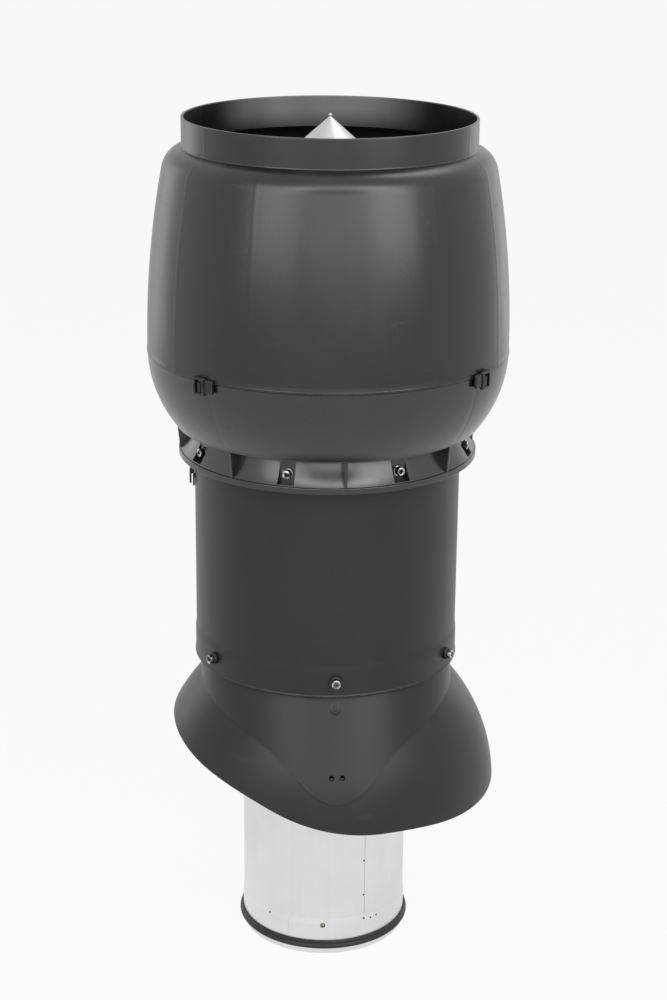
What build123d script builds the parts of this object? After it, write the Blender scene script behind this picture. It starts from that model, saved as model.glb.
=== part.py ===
# Insulated roof vent outlet: open-topped hood on a plastic pipe, steel duct inside, ball-shaped skirt below.
# Millimetres. Z runs up the pipe's axis, the visor of the neck points to the front (-Y), X is to the right.
# The origin is the centre of the duct's lower end.
import os
from math import asin, atan2, cos, degrees, hypot, radians, sin, sqrt, tan

from build123d import *

os.makedirs("parts", exist_ok=True)

# Driving sizes
DUCT_R = 101.0           # outside radius of the steel duct
PIPE_R = 157.5           # outside radius of the plastic pipe
HOOD_R = 211.0           # outside radius of the hood at its seam
MOUTH_R = 169.0          # outside radius of the lip round the open mouth
BALL_R = 209.5           # outside radius of the skirt dome

# Heights above the duct's lower end
COUPLING_TOP = 48.0
PIPE_BOTTOM = 371.0
RIM_BOTTOM = 624.0       # drip ring
SEAM_Z = 748.5
DUCT_TOP = 770.0
SHOULDER_TOP = 985.0
MOUTH_Z = 1018.0
CONE_TIP_Z = 1018.0

# Walls and clearances
SHEET = 0.8              # steel sheet
PIPE_WALL = 4.9
SHELL = 3.0              # moulded shells
SLIP = 0.4               # between pieces that slide together
GAP = 0.3                # between pieces that are held together

# Skirt tilt as it stands: the dome leans towards TILT_AZ, measured from the front to the right
TILT_DEG = 12.8
TILT_AZ = 61.8
TILT_MORE = 1.0          # further tilt that the hole in the dome leaves room for

# Radii and heights that follow
PIPE_IN = PIPE_R - PIPE_WALL
NECK_R = PIPE_IN - SLIP
NECK_IN = NECK_R - SHELL
NECK_DROP = 30.0         # from the pipe's lower end to where the dome meets the neck
slide_r = BALL_R + SLIP
neck_edge = sqrt(slide_r ** 2 - NECK_R ** 2)
BALL_Z = PIPE_BOTTOM - NECK_DROP - neck_edge
COLLAR_TOP = PIPE_BOTTOM + 41.0
BAND_TOP = PIPE_BOTTOM + 40.0
RIM_TOP = RIM_BOTTOM + 7.0
PIPE_TOP = RIM_TOP + 24.0
BOWL_BOTTOM = RIM_TOP + 31.0

# Azimuths: the moulded housing stands slightly turned against the neck
HOUSING_TURN = 2.5
CLIP_HALF = 48.0         # from the front of the housing to the clips on either side
STRUT_ANGLES = (45, 135, 225, 315)
CLIP_ANGLES = [HOUSING_TURN + a for a in (-CLIP_HALF, CLIP_HALF, 180 - CLIP_HALF, 180 + CLIP_HALF)]
BAY_ANGLES = [HOUSING_TURN + 22.5 + 45 * i for i in range(8)]
RIB_ANGLES = [HOUSING_TURN + 45 * i for i in range(8)]
NECK_SCREW_ANGLES = [60 * i for i in range(6)]


def turn(shape, azimuth):
    """Turn a shape modelled at the front (-Y) to an azimuth counted from the front to the right."""
    return Rot(0, 0, azimuth) * shape


def tube(r_in, r_out, z_low, z_high):
    height = z_high - z_low
    body = Cylinder(r_out, height) - Cylinder(r_in, height + 2)
    return Pos(0, 0, (z_low + z_high) / 2) * body


def spin(*edges):
    """Revolve a closed outline, drawn as radius and height, round the axis."""
    face = make_face(list(edges))
    return revolve(Plane.XZ * face, Axis.Z)


def outline(*points):
    return Polyline(*points, close=True)


def block(width, r_low, r_high, z_low, z_high):
    """A box at the front, spanning two distances from the axis."""
    shape = Box(width, r_high - r_low, z_high - z_low)
    return Pos(0, -(r_low + r_high) / 2, (z_low + z_high) / 2) * shape


def peg(radius, r_low, r_high, height, sideways=0.0):
    """A round bar at the front that points away from the axis."""
    bar = Cylinder(radius, r_high - r_low)
    return Pos(sideways, -(r_low + r_high) / 2, height) * Rot(90, 0, 0) * bar


def save(name, shape):
    shape.label = name
    export_step(shape, "parts/" + name + ".step")


def arc(centre, radius, from_deg, to_deg):
    """A circular arc in the radius and height plane, between two angles from the outward direction."""
    def at(angle):
        return (centre[0] + radius * cos(radians(angle)), centre[1] + radius * sin(radians(angle)))
    return ThreePointArc(at(from_deg), at((from_deg + to_deg) / 2), at(to_deg))


def angle_at(centre, point):
    return degrees(atan2(point[1] - centre[1], point[0] - centre[0]))


def chain(*pieces):
    """Join arcs, and points given as tuples, into one closed list of edges."""
    edges = []
    first = None
    last = None
    for piece in pieces:
        if isinstance(piece, tuple):
            start = piece
            end = piece
        else:
            start = tuple(piece @ 0)[:2]
            end = tuple(piece @ 1)[:2]
        if first is None:
            first = start
        elif hypot(start[0] - last[0], start[1] - last[1]) > 1e-6:
            edges.append(Line(last, start))
        if not isinstance(piece, tuple):
            edges.append(piece)
        last = end
    if hypot(first[0] - last[0], first[1] - last[1]) > 1e-6:
        edges.append(Line(last, first))
    return edges


def ribbon(points, thickness):
    """The outline of a bent strip of even thickness along a line of points."""
    left = []
    right = []
    for index, (x, y) in enumerate(points):
        before = points[max(index - 1, 0)]
        after = points[min(index + 1, len(points) - 1)]
        run_in = (x - before[0], y - before[1])
        run_out = (after[0] - x, after[1] - y)
        if index == 0:
            run_in = run_out
        if index == len(points) - 1:
            run_out = run_in
        size_in = hypot(*run_in)
        size_out = hypot(*run_out)
        bisector = (run_in[0] / size_in + run_out[0] / size_out, run_in[1] / size_in + run_out[1] / size_out)
        size = hypot(*bisector)
        normal = (-bisector[1] / size, bisector[0] / size)
        along = (normal[0] * -run_in[1] + normal[1] * run_in[0]) / size_in
        reach = thickness / 2 / along
        left.append((x + normal[0] * reach, y + normal[1] * reach))
        right.append((x - normal[0] * reach, y - normal[1] * reach))
    return left + right[::-1]


def plate(points, thickness):
    """A flat plate at the right (+X), drawn as radius and height, with its thickness across."""
    face = make_face(Polyline(*points, close=True))
    return extrude(Plane.XZ * face, thickness / 2, both=True)


def plate_at(points, thickness, azimuth):
    return Rot(0, 0, azimuth - 90) * plate(points, thickness)


def socket_screw(shank_r, tip, seat, head_r, head_height, socket_r, height):
    """A socket screw at the front, pointing to the axis, with its head on a seat."""
    head = peg(head_r, seat, seat + head_height, height)
    shank = peg(shank_r, tip, seat, height)
    key = extrude(RegularPolygon(socket_r, 6), head_height * 0.6)
    key = Pos(0, -(seat + head_height * 0.41), height) * Rot(90, 0, 0) * key
    return head + shank - key


# Steel duct, with a lap seam, and the coupling on its lower end
SEAM_PROUD = 0.7
LAP_AZ = 25.4
RIVET_Z = 40.0
RIVET_ANGLES = (-4.6, 115.4, 235.4)
RIVET_R = 1.8
RIVET_HEAD_R = 3.2
HOLE_PLAY = 0.2

coupling_in = DUCT_R + HOLE_PLAY
coupling_out = coupling_in + SHEET * 0.75
STRUT_THICK = 2.0
STRUT_WIDTH = 20.0
STRUT_BOTTOM = DUCT_TOP - 32.0
STRUT_RIVET_R = 2.0
strut_low = DUCT_R + 0.45
STRUT_RIVET_LOW = 8.0
STRUT_RIVET_PITCH = 14.0
strut_rivet_heights = [STRUT_BOTTOM + STRUT_RIVET_LOW + STRUT_RIVET_PITCH * i for i in range(2)]

duct = tube(DUCT_R - SHEET, DUCT_R, 12.0, DUCT_TOP)
lap = tube(DUCT_R - SHEET / 2, DUCT_R + SEAM_PROUD, COUPLING_TOP + 0.6, DUCT_TOP - 2)
lap = lap & block(11.0, DUCT_R - 5, DUCT_R + 5, COUPLING_TOP, DUCT_TOP)
duct = duct + turn(lap, LAP_AZ)
for azimuth in RIVET_ANGLES:
    duct = duct - turn(peg(RIVET_R + HOLE_PLAY, DUCT_R - 8, DUCT_R + 8, RIVET_Z), azimuth)
for azimuth in STRUT_ANGLES:
    for height in strut_rivet_heights:
        duct = duct - turn(peg(STRUT_RIVET_R + HOLE_PLAY, DUCT_R - 8, DUCT_R + 8, height), azimuth)
save("inner_duct", duct)

END_LIP = 4.0
coupling = spin(outline(
    (coupling_in - END_LIP, 0),
    (coupling_out - 1.8, 0),
    (coupling_out, 3.0),
    (coupling_out, COUPLING_TOP),
    (coupling_in, COUPLING_TOP),
    (coupling_in, 3.2),
    (coupling_in - END_LIP, 1.0),
))
for azimuth in RIVET_ANGLES:
    coupling = coupling - turn(peg(RIVET_R + HOLE_PLAY, DUCT_R - 8, DUCT_R + 8, RIVET_Z), azimuth)
save("duct_coupling", coupling)

GASKET_LOW = 9.0
GASKET_HEIGHT = 10.5
GASKET_REACH = 4.0
gasket_base = coupling_out + HOLE_PLAY
gasket_lip = gasket_base + GASKET_REACH
gasket_waist = gasket_base + GASKET_REACH * 0.65
gasket = spin(outline(
    (gasket_base, GASKET_LOW),
    (gasket_waist, GASKET_LOW),
    (gasket_lip, GASKET_LOW + GASKET_HEIGHT * 0.22),
    (gasket_lip, GASKET_LOW + GASKET_HEIGHT * 0.42),
    (gasket_waist, GASKET_LOW + GASKET_HEIGHT * 0.55),
    (gasket_waist, GASKET_LOW + GASKET_HEIGHT * 0.88),
    (gasket_base, GASKET_LOW + GASKET_HEIGHT),
))
save("duct_gasket", gasket)

rivet = peg(RIVET_R, DUCT_R - SHEET - 1.2, coupling_out + 0.3, RIVET_Z)
rivet = rivet + peg(RIVET_HEAD_R, coupling_out + HOLE_PLAY, coupling_out + 1.5, RIVET_Z)
save("duct_rivets", Compound(children=[turn(rivet, azimuth) for azimuth in RIVET_ANGLES]))

# Outer pipe, with the wider band and bead at its lower end
BAND_PROUD = 1.0
BEAD_PROUD = 1.7
SCREW_R = 3.0
BAND_FADE = 9.0          # height over which the band runs out into the pipe
NECK_SCREW_Z = PIPE_BOTTOM + 20.0
HOUSING_SCREW_Z = RIM_TOP + 12.0
HOOK_AZ = -90.0
HOOK_TOP = RIM_BOTTOM - 16.0
HOOK_BOTTOM = HOOK_TOP - 26.0
HOOK_PEG_Z = HOOK_TOP - 15.0
HOOK_PEG_R = 2.5
screw_hole_r = SCREW_R + HOLE_PLAY

pipe = spin(outline(
    (PIPE_IN, PIPE_BOTTOM),
    (PIPE_R + BAND_PROUD, PIPE_BOTTOM),
    (PIPE_R + BEAD_PROUD, PIPE_BOTTOM + 0.8),
    (PIPE_R + BEAD_PROUD, PIPE_BOTTOM + 2.0),
    (PIPE_R + BAND_PROUD, PIPE_BOTTOM + 3.0),
    (PIPE_R + BAND_PROUD, BAND_TOP - BAND_FADE),
    (PIPE_R, BAND_TOP),
    (PIPE_R, PIPE_TOP),
    (PIPE_IN, PIPE_TOP),
))
for azimuth in NECK_SCREW_ANGLES:
    pipe = pipe - turn(peg(screw_hole_r, PIPE_IN - 5, PIPE_R + 8, NECK_SCREW_Z), azimuth)
for azimuth in BAY_ANGLES:
    pipe = pipe - turn(peg(screw_hole_r, PIPE_IN - 5, PIPE_R + 8, HOUSING_SCREW_Z), azimuth)
pipe = pipe - turn(peg(HOOK_PEG_R + HOLE_PLAY, PIPE_IN - 5, PIPE_R + 8, HOOK_PEG_Z), HOOK_AZ)
save("outer_pipe", pipe)

# Insulation between duct and pipe, closed by a plate below and a cap ring above
fill_in = DUCT_R + SEAM_PROUD + GAP
fill_out = PIPE_IN - GAP
BASE_THICK = 2.0
CAP_THICK = 4.0
CAP_COLLAR = 3.0         # wall of the short collar that the cap ring has round the duct
CAP_COLLAR_RISE = 12.0
CAP_COLLAR_DEPTH = 5.5
CAP_COLLAR_TOP = PIPE_TOP + CAP_COLLAR_RISE
CAP_COLLAR_LOW = PIPE_TOP - CAP_COLLAR_DEPTH
save("insulation_base", tube(fill_in, fill_out, COLLAR_TOP + GAP, COLLAR_TOP + GAP + BASE_THICK))
sleeve_low = COLLAR_TOP + 2 * GAP + BASE_THICK
save("insulation_sleeve", tube(fill_in, fill_out, sleeve_low, CAP_COLLAR_LOW - GAP))
cap_ring = tube(fill_in, PIPE_R - GAP, PIPE_TOP + GAP, PIPE_TOP + GAP + CAP_THICK)
cap_ring = cap_ring + tube(fill_in, fill_in + CAP_COLLAR, CAP_COLLAR_LOW, CAP_COLLAR_TOP)
save("insulation_cap", cap_ring)

# Neck: collar inside the pipe, and a visor that leans to the front from the pipe's lower edge until it
# touches the ball, then follows the ball. Heights in this section are counted from the ball's centre.
VISOR_THICK = 3.2
VISOR_ROOM = 60.0        # room that the visor's outline leaves round the neck
VISOR_DROP = 99.8        # from the neck's edge down to where the visor's straight edges would meet
VISOR_SLOPE = 0.88       # rise of those edges over their run sideways
VISOR_KNEE_X = 81.0      # where they turn into the flatter edges that run to the neck's sides
BROW_SLOPE = 0.39
VISOR_TIP_R = 44.0
VISOR_KNEE_R = 90.0
visor_r = slide_r + VISOR_THICK
visor_tip = neck_edge - VISOR_DROP
visor_low = visor_tip - 8.0
collar_top = COLLAR_TOP - BALL_Z
visor_start = PIPE_BOTTOM - BALL_Z
start_reach = hypot(NECK_R, visor_start)
visor_lean = asin(visor_start / start_reach) - asin(sqrt(start_reach ** 2 - visor_r ** 2) / start_reach)
touch_z = visor_r * sin(visor_lean)
lean_way = (0, -sin(visor_lean), -cos(visor_lean))
lean_length = (visor_start - visor_low) / cos(visor_lean)
leaning = extrude(Pos(0, 0, visor_start) * Circle(NECK_R), lean_length, dir=lean_way)
leaning_bore = extrude(Pos(0, 0, visor_start) * Circle(NECK_IN), lean_length, dir=lean_way)
above_touch = Pos(0, 0, touch_z + visor_r) * Box(4 * visor_r, 4 * visor_r, 2 * visor_r)
tongue = (leaning & above_touch) + ((leaning - above_touch) & Sphere(visor_r))
side_x = NECK_R + VISOR_ROOM
knee_z = visor_tip + VISOR_SLOPE * VISOR_KNEE_X
side_z = knee_z + BROW_SLOPE * (side_x - VISOR_KNEE_X)
visor_top = collar_top - 5
visor_face = make_face(Polyline(
    (-side_x, side_z),
    (-VISOR_KNEE_X, knee_z),
    (0, visor_tip),
    (VISOR_KNEE_X, knee_z),
    (side_x, side_z),
    (side_x, visor_top),
    (-side_x, visor_top),
    close=True,
))
tip_vertex = visor_face.vertices().sort_by(Axis.Y)[0]
visor_face = fillet(tip_vertex, VISOR_TIP_R)
knees = [v for v in visor_face.vertices() if abs(v.Y - knee_z) < 0.01]
visor_face = fillet(knees, VISOR_KNEE_R)
visor_cut = extrude(Plane.XZ * visor_face, slide_r + VISOR_ROOM)
collar = tube(NECK_IN, NECK_R, neck_edge / 2, collar_top)
collar = collar + (tongue & visor_cut) - (leaning_bore & above_touch) - Sphere(slide_r)
BOSS_RISE = 16.5
BOSS_R = 8.0
BOSS_PROUD = 2.6
BOSS_ROOT = 1.0
boss_z = neck_edge + BOSS_RISE
boss_seat = NECK_R + (visor_start - boss_z) * tan(visor_lean)
boss_plane = Plane((0, -boss_seat, boss_z), x_dir=(1, 0, 0), z_dir=(0, -cos(visor_lean), sin(visor_lean)))
boss = extrude(boss_plane.offset(-BOSS_ROOT) * Circle(BOSS_R), BOSS_ROOT + BOSS_PROUD)
boss = boss + extrude(boss_plane.offset(-BOSS_ROOT) * Circle(BOSS_R * 0.3), BOSS_ROOT + BOSS_PROUD * 1.4)
neck = Pos(0, 0, BALL_Z) * (collar + boss)
VISOR_HOLE_R = 2.7
VISOR_HOLE_X = 6.2
VISOR_HOLE_DROP = 56.0
for side in (-1, 1):
    hole_z = BALL_Z + neck_edge - VISOR_HOLE_DROP
    neck = neck - peg(VISOR_HOLE_R, NECK_R, visor_r + 10, hole_z, side * VISOR_HOLE_X)
for azimuth in NECK_SCREW_ANGLES:
    neck = neck - turn(peg(screw_hole_r, NECK_IN - 5, NECK_R + 8, NECK_SCREW_Z), azimuth)
save("neck_collar", neck)

# Skirt dome, tilted about the ball's centre
RIM_OFFSET = 55.7        # from the ball's centre to the plane of the rim
LOBE_DROP = 10.2         # the rim hangs lower below the visor, in a shallow lobe of smooth arcs
LOBE_HALF = 133.0
LOBE_X = -17.0
dome_in = BALL_R - SHELL
lean = (sin(radians(TILT_AZ)), -cos(radians(TILT_AZ)), 0)
normal = Vector(
    lean[0] * sin(radians(TILT_DEG)),
    lean[1] * sin(radians(TILT_DEG)),
    cos(radians(TILT_DEG)),
)
rim_plane = Plane(origin=normal * RIM_OFFSET, x_dir=(cos(radians(TILT_DEG)), 0, -normal.X), z_dir=normal)
keep_size = 2 * BALL_R + 40
above = Pos(0, 0, keep_size / 2) * Box(keep_size, keep_size, keep_size)
lobe_r = (LOBE_HALF ** 2 + LOBE_DROP ** 2) / (4 * LOBE_DROP)
quarter = degrees(asin(LOBE_HALF / 2 / lobe_r))
lobe_face = make_face(chain(
    arc((LOBE_X - LOBE_HALF, -lobe_r), lobe_r, 90, 90 - quarter),
    arc((LOBE_X, lobe_r - LOBE_DROP), lobe_r, 270 - quarter, 270 + quarter),
    arc((LOBE_X + LOBE_HALF, -lobe_r), lobe_r, 90 + quarter, 90),
    (LOBE_X + LOBE_HALF, LOBE_DROP),
    (LOBE_X - LOBE_HALF, LOBE_DROP),
))
lobe = extrude(Plane.XZ * lobe_face, keep_size / 2)
keep = rim_plane * (above + lobe)
dome = (Sphere(BALL_R) - Sphere(dome_in)) & keep
hole_r = coupling_out + 1.5
hole_height = sqrt(dome_in ** 2 - hole_r ** 2)
shift_far = hole_height * sin(radians(TILT_DEG))
shift_near = hole_height * sin(radians(TILT_MORE)) + 0.5
slot = SlotOverall(2 * hole_r + shift_far + shift_near, 2 * hole_r)
slot = extrude(Pos((shift_far - shift_near) / 2, 0, 0) * slot, BALL_R + 20)
dome = dome - Rot(0, 0, TILT_AZ - 90) * slot
save("skirt_dome", Pos(0, 0, BALL_Z) * dome)

# Screws that hold the neck in the pipe, with thick washers outside and nuts inside
WASHER_R = 7.2
WASHER_THICK = 4.2
NUT_FLAT_R = 5.0
NUT_THICK = 5.0
washer_low = PIPE_R + BAND_PROUD + HOLE_PLAY
washer_high = washer_low + WASHER_THICK
screw_seat = washer_high + HOLE_PLAY
nut_high = NECK_IN - 0.5
washer = peg(WASHER_R, washer_low, washer_high, NECK_SCREW_Z)
washer = washer - peg(screw_hole_r, washer_low - 1, washer_high + 1, NECK_SCREW_Z)
save("neck_washers", Compound(children=[turn(washer, a) for a in NECK_SCREW_ANGLES]))
neck_screw = socket_screw(SCREW_R, nut_high - NUT_THICK - 1.5, screw_seat, 5.4, 4.6, 2.9, NECK_SCREW_Z)
save("neck_screws", Compound(children=[turn(neck_screw, a) for a in NECK_SCREW_ANGLES]))
nut = extrude(RegularPolygon(NUT_FLAT_R, 6, major_radius=False), NUT_THICK)
nut = Pos(0, -(nut_high - NUT_THICK), NECK_SCREW_Z) * Rot(90, 0, 0) * nut
nut = nut - peg(screw_hole_r, nut_high - NUT_THICK - 2, nut_high + 2, NECK_SCREW_Z)
save("neck_nuts", Compound(children=[turn(nut, a) for a in NECK_SCREW_ANGLES]))

# Spring band round the duct, with four leaf springs that press the dome up against the neck
BAND_RISE = 70.0         # above the ball's centre
BAND_WIDE = 25.0
BAND_LOW = BALL_Z + BAND_RISE
BAND_HIGH = BAND_LOW + BAND_WIDE
BAND_THICK = 1.5
EAR_REACH = 16.0
EAR_GAP = 8.0
EAR_THICK = 2.0
BOLT_R = 2.5
band_in = DUCT_R + SEAM_PROUD + HOLE_PLAY
band_out = band_in + BAND_THICK
band_split = block(EAR_GAP, band_in - 9, band_out + 9, BAND_LOW - 9, BAND_HIGH + 9)
band = tube(band_in, band_out, BAND_LOW, BAND_HIGH) - turn(band_split, 180)
bolt_y = band_out + EAR_REACH / 2
bolt_z = (BAND_LOW + BAND_HIGH) / 2
for side in (-1, 1):
    ear = Box(EAR_THICK, EAR_REACH + 1.2, BAND_HIGH - BAND_LOW)
    ear_x = side * (EAR_GAP / 2 + EAR_THICK / 2)
    band = band + Pos(ear_x, band_out + EAR_REACH / 2 - 0.6, bolt_z) * ear
ear_face = EAR_GAP / 2 + EAR_THICK
band = band - Pos(0, bolt_y, bolt_z) * Rot(0, 90, 0) * Cylinder(BOLT_R + HOLE_PLAY, 4 * ear_face)
save("spring_band", band)
BOLT_HEAD_R = BOLT_R * 1.8
BOLT_HEAD = BOLT_R * 1.6
bolt_long = 2 * ear_face + BOLT_HEAD + BOLT_R * 3
bolt = Pos(bolt_long / 2 - ear_face - BOLT_HEAD, 0, 0) * Rot(0, 90, 0) * Cylinder(BOLT_R, bolt_long)
bolt_head = Rot(0, 90, 0) * Cylinder(BOLT_HEAD_R, BOLT_HEAD)
bolt = bolt + Pos(-(ear_face + HOLE_PLAY + BOLT_HEAD / 2), 0, 0) * bolt_head
save("band_bolt", Pos(0, bolt_y, bolt_z) * bolt)
band_nut = Rot(0, 90, 0) * extrude(RegularPolygon(BOLT_R * 1.6, 6, major_radius=False), BOLT_HEAD)
band_nut = band_nut - Rot(0, 90, 0) * Cylinder(BOLT_R + HOLE_PLAY, 4 * BOLT_HEAD)
save("band_nut", Pos(ear_face + HOLE_PLAY, bolt_y, bolt_z) * band_nut)

LEAF_THICK = 1.2
LEAF_WIDTH = 16.0
PAD_GAP = 0.9            # between the spring pads and the dome
PAD_HEEL = 8.0
pad_r = dome_in - PAD_GAP - LEAF_THICK / 2
leaf_r = band_out + HOLE_PLAY + LEAF_THICK / 2
pad_low = (pad_r * sin(radians(62)), pad_r * cos(radians(62)))
pad_high = (pad_r * sin(radians(54)), pad_r * cos(radians(54)))
leaf_points = [
    (leaf_r, BAND_LOW + BAND_WIDE * 0.16),
    (leaf_r, BAND_LOW + BAND_WIDE * 0.8),
    (pad_low[0] - PAD_HEEL, BALL_Z + pad_low[1] - PAD_HEEL * 0.9),
    (pad_low[0], BALL_Z + pad_low[1]),
    (pad_high[0], BALL_Z + pad_high[1]),
]
leaves = [plate_at(ribbon(leaf_points, LEAF_THICK), LEAF_WIDTH, a) for a in STRUT_ANGLES]
save("dome_springs", Compound(children=leaves))

# Lower housing: bowl, ribs and drip ring in one moulding
BOWL_TANGENT_Z = SEAM_Z + 3.5
RIM_REACH = 15.1         # how far the drip ring's rim stands out from the sleeve
SLEEVE_THICK = 3.0
SLEEVE_BOTTOM = RIM_BOTTOM - 4.0
SLEEVE_RISE = 27.0       # how far the sleeve reaches up inside the bowl
SLEEVE_TOP = BOWL_BOTTOM + SLEEVE_RISE
RIB_RISE = 24.0
RIB_THICK = 3.6
SCOOP_RISE = 29.0
POCKET_WIDTH = 19.0
POCKET_LOW = RIM_TOP + 1.5
POCKET_HIGH = BOWL_BOTTOM - 2.0
sleeve_in = PIPE_R + SLIP
sleeve_out = sleeve_in + SLEEVE_THICK
RIM_R = sleeve_out + RIM_REACH
bowl_edge_r = RIM_R + 2.5
bowl_height = BOWL_TANGENT_Z - BOWL_BOTTOM
bowl_inset = HOOD_R - bowl_edge_r
BOWL_ARC = (bowl_inset ** 2 + bowl_height ** 2) / (2 * bowl_inset)
bowl_centre = (HOOD_R - BOWL_ARC, BOWL_TANGENT_Z)
seat_low = SEAM_Z - GAP / 2


def bowl_angle(radius, height):
    return degrees(asin((height - BOWL_TANGENT_Z) / radius))


def bowl_radius(height):
    """Radius of the middle of the bowl's wall at a height."""
    middle = BOWL_ARC - SHELL / 2
    return bowl_centre[0] + sqrt(middle ** 2 - (height - BOWL_TANGENT_Z) ** 2)


bowl = spin(*chain(
    arc(bowl_centre, BOWL_ARC, bowl_angle(BOWL_ARC, seat_low), bowl_angle(BOWL_ARC, BOWL_BOTTOM)),
    arc(bowl_centre, BOWL_ARC - SHELL, bowl_angle(BOWL_ARC - SHELL, BOWL_BOTTOM),
        bowl_angle(BOWL_ARC - SHELL, seat_low)),
))
REGISTER_THICK = 2.8     # upright lip inside the seam that centres the hood
REGISTER_RISE = 8.0
REGISTER_DEPTH = 13.0
REGISTER_FOOT = 4.0
register_out = HOOD_R - SHELL - SLIP
register_in = register_out - REGISTER_THICK
foot_low = SEAM_Z - REGISTER_DEPTH
foot_out = bowl_radius(foot_low + REGISTER_FOOT / 2)
bowl = bowl + tube(register_in, register_out, foot_low, SEAM_Z + REGISTER_RISE)
bowl = bowl + tube(register_in, foot_out, foot_low, foot_low + REGISTER_FOOT)
ring = spin(*chain(
    (sleeve_in, SLEEVE_BOTTOM),
    (sleeve_out, SLEEVE_BOTTOM),
    (sleeve_out + 4, RIM_BOTTOM),
    (RIM_R, RIM_BOTTOM),
    (RIM_R, RIM_TOP),
    ThreePointArc(
        (RIM_R - 2.0, RIM_TOP + 0.4),
        (sleeve_out + RIM_REACH * 0.37, RIM_TOP + SCOOP_RISE * 0.42),
        (sleeve_out, RIM_TOP + SCOOP_RISE),
    ),
    (sleeve_out, SLEEVE_TOP),
    (sleeve_in, SLEEVE_TOP),
))
rib_points = [
    (sleeve_out - 1.5, RIM_BOTTOM + 1),
    (RIM_R - 1.2, RIM_BOTTOM + 1),
    (RIM_R - 1.2, RIM_TOP),
    (bowl_edge_r - 0.4, BOWL_BOTTOM + 0.5),
    (bowl_radius(BOWL_BOTTOM + RIB_RISE * 0.67), BOWL_BOTTOM + RIB_RISE * 0.67),
    (bowl_radius(BOWL_BOTTOM + RIB_RISE), BOWL_BOTTOM + RIB_RISE),
    (sleeve_out + RIB_RISE * 0.58, BOWL_BOTTOM + RIB_RISE),
    (sleeve_out - 1.5, BOWL_BOTTOM + RIB_RISE * 0.58),
]
housing = bowl + ring
for azimuth in RIB_ANGLES:
    housing = housing + plate_at(rib_points, RIB_THICK, azimuth)
POCKET_FACE = sleeve_out + 1.6
for azimuth in BAY_ANGLES:
    pocket = block(POCKET_WIDTH, POCKET_FACE, RIM_R - 3.2, POCKET_LOW, POCKET_HIGH)
    housing = housing - turn(pocket, azimuth)
    seat = block(POCKET_WIDTH, sleeve_in + 1.2, POCKET_FACE, POCKET_LOW, POCKET_HIGH)
    housing = housing + turn(seat, azimuth)
    housing = housing - turn(peg(screw_hole_r, sleeve_in - 5, RIM_R + 8, HOUSING_SCREW_Z), azimuth)

# Seam clips: a framed catch with a stop block beside it, held by a peg in the bowl
CLIP_WIDTH = 16.0
CLIP_BELOW = 14.5
CLIP_ABOVE = 6.5
CLIP_THICK = 5.0
CLIP_FRAME = 3.2
CLIP_PEG_R = 2.0
CLIP_PEG_DROP = 9.0
CLIP_PEG_REACH = 7.5
BLOCK_WIDTH = 12.0
BLOCK_THICK = 3.6
BLOCK_BELOW = 10.5
BLOCK_ABOVE = 4.5
HOOD_BEAD = 0.6
CLIP_LOW = SEAM_Z - CLIP_BELOW
CLIP_HIGH = SEAM_Z + CLIP_ABOVE
CLIP_PEG_Z = SEAM_Z - CLIP_PEG_DROP
clip_low = HOOD_R + HOOD_BEAD + 0.5
for azimuth in CLIP_ANGLES:
    peg_hole = peg(CLIP_PEG_R + HOLE_PLAY, register_in - 9, HOOD_R + 9, CLIP_PEG_Z)
    housing = housing - turn(peg_hole, azimuth)
save("lower_housing", housing)

clip_body = block(CLIP_WIDTH, clip_low, clip_low + CLIP_THICK, CLIP_LOW, CLIP_HIGH)
clip_body = clip_body - block(
    CLIP_WIDTH - 2 * CLIP_FRAME,
    clip_low + 2,
    clip_low + CLIP_THICK + 1,
    CLIP_LOW + CLIP_FRAME,
    CLIP_HIGH - CLIP_FRAME,
)
clip_body = clip_body + peg(CLIP_PEG_R, HOOD_R - CLIP_PEG_REACH, clip_low + 1, CLIP_PEG_Z)
stop_block = block(BLOCK_WIDTH, clip_low, clip_low + BLOCK_THICK, SEAM_Z - BLOCK_BELOW, SEAM_Z + BLOCK_ABOVE)
stop_shift = (CLIP_WIDTH + BLOCK_WIDTH) / 2 - 0.5
clips = []
for index, azimuth in enumerate(CLIP_ANGLES):
    side = 1 if index in (0, 2) else -1
    clips.append(turn(clip_body + Pos(side * stop_shift, 0, 0) * stop_block, azimuth))
save("hood_clips", Compound(children=clips))

housing_washer_low = POCKET_FACE + HOLE_PLAY
HOUSING_WASHER_R = 6.4
HOUSING_WASHER_THICK = 1.2
housing_washer_high = housing_washer_low + HOUSING_WASHER_THICK
housing_washer = peg(HOUSING_WASHER_R, housing_washer_low, housing_washer_high, HOUSING_SCREW_Z)
housing_washer = housing_washer - peg(screw_hole_r, sleeve_in, RIM_R, HOUSING_SCREW_Z)
save("housing_washers", Compound(children=[turn(housing_washer, a) for a in BAY_ANGLES]))
housing_seat = housing_washer_high + HOLE_PLAY
housing_screw = socket_screw(SCREW_R, PIPE_IN + 0.3, housing_seat, 5.0, 5.6, 2.7, HOUSING_SCREW_Z)
save("housing_screws", Compound(children=[turn(housing_screw, a) for a in BAY_ANGLES]))

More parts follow.
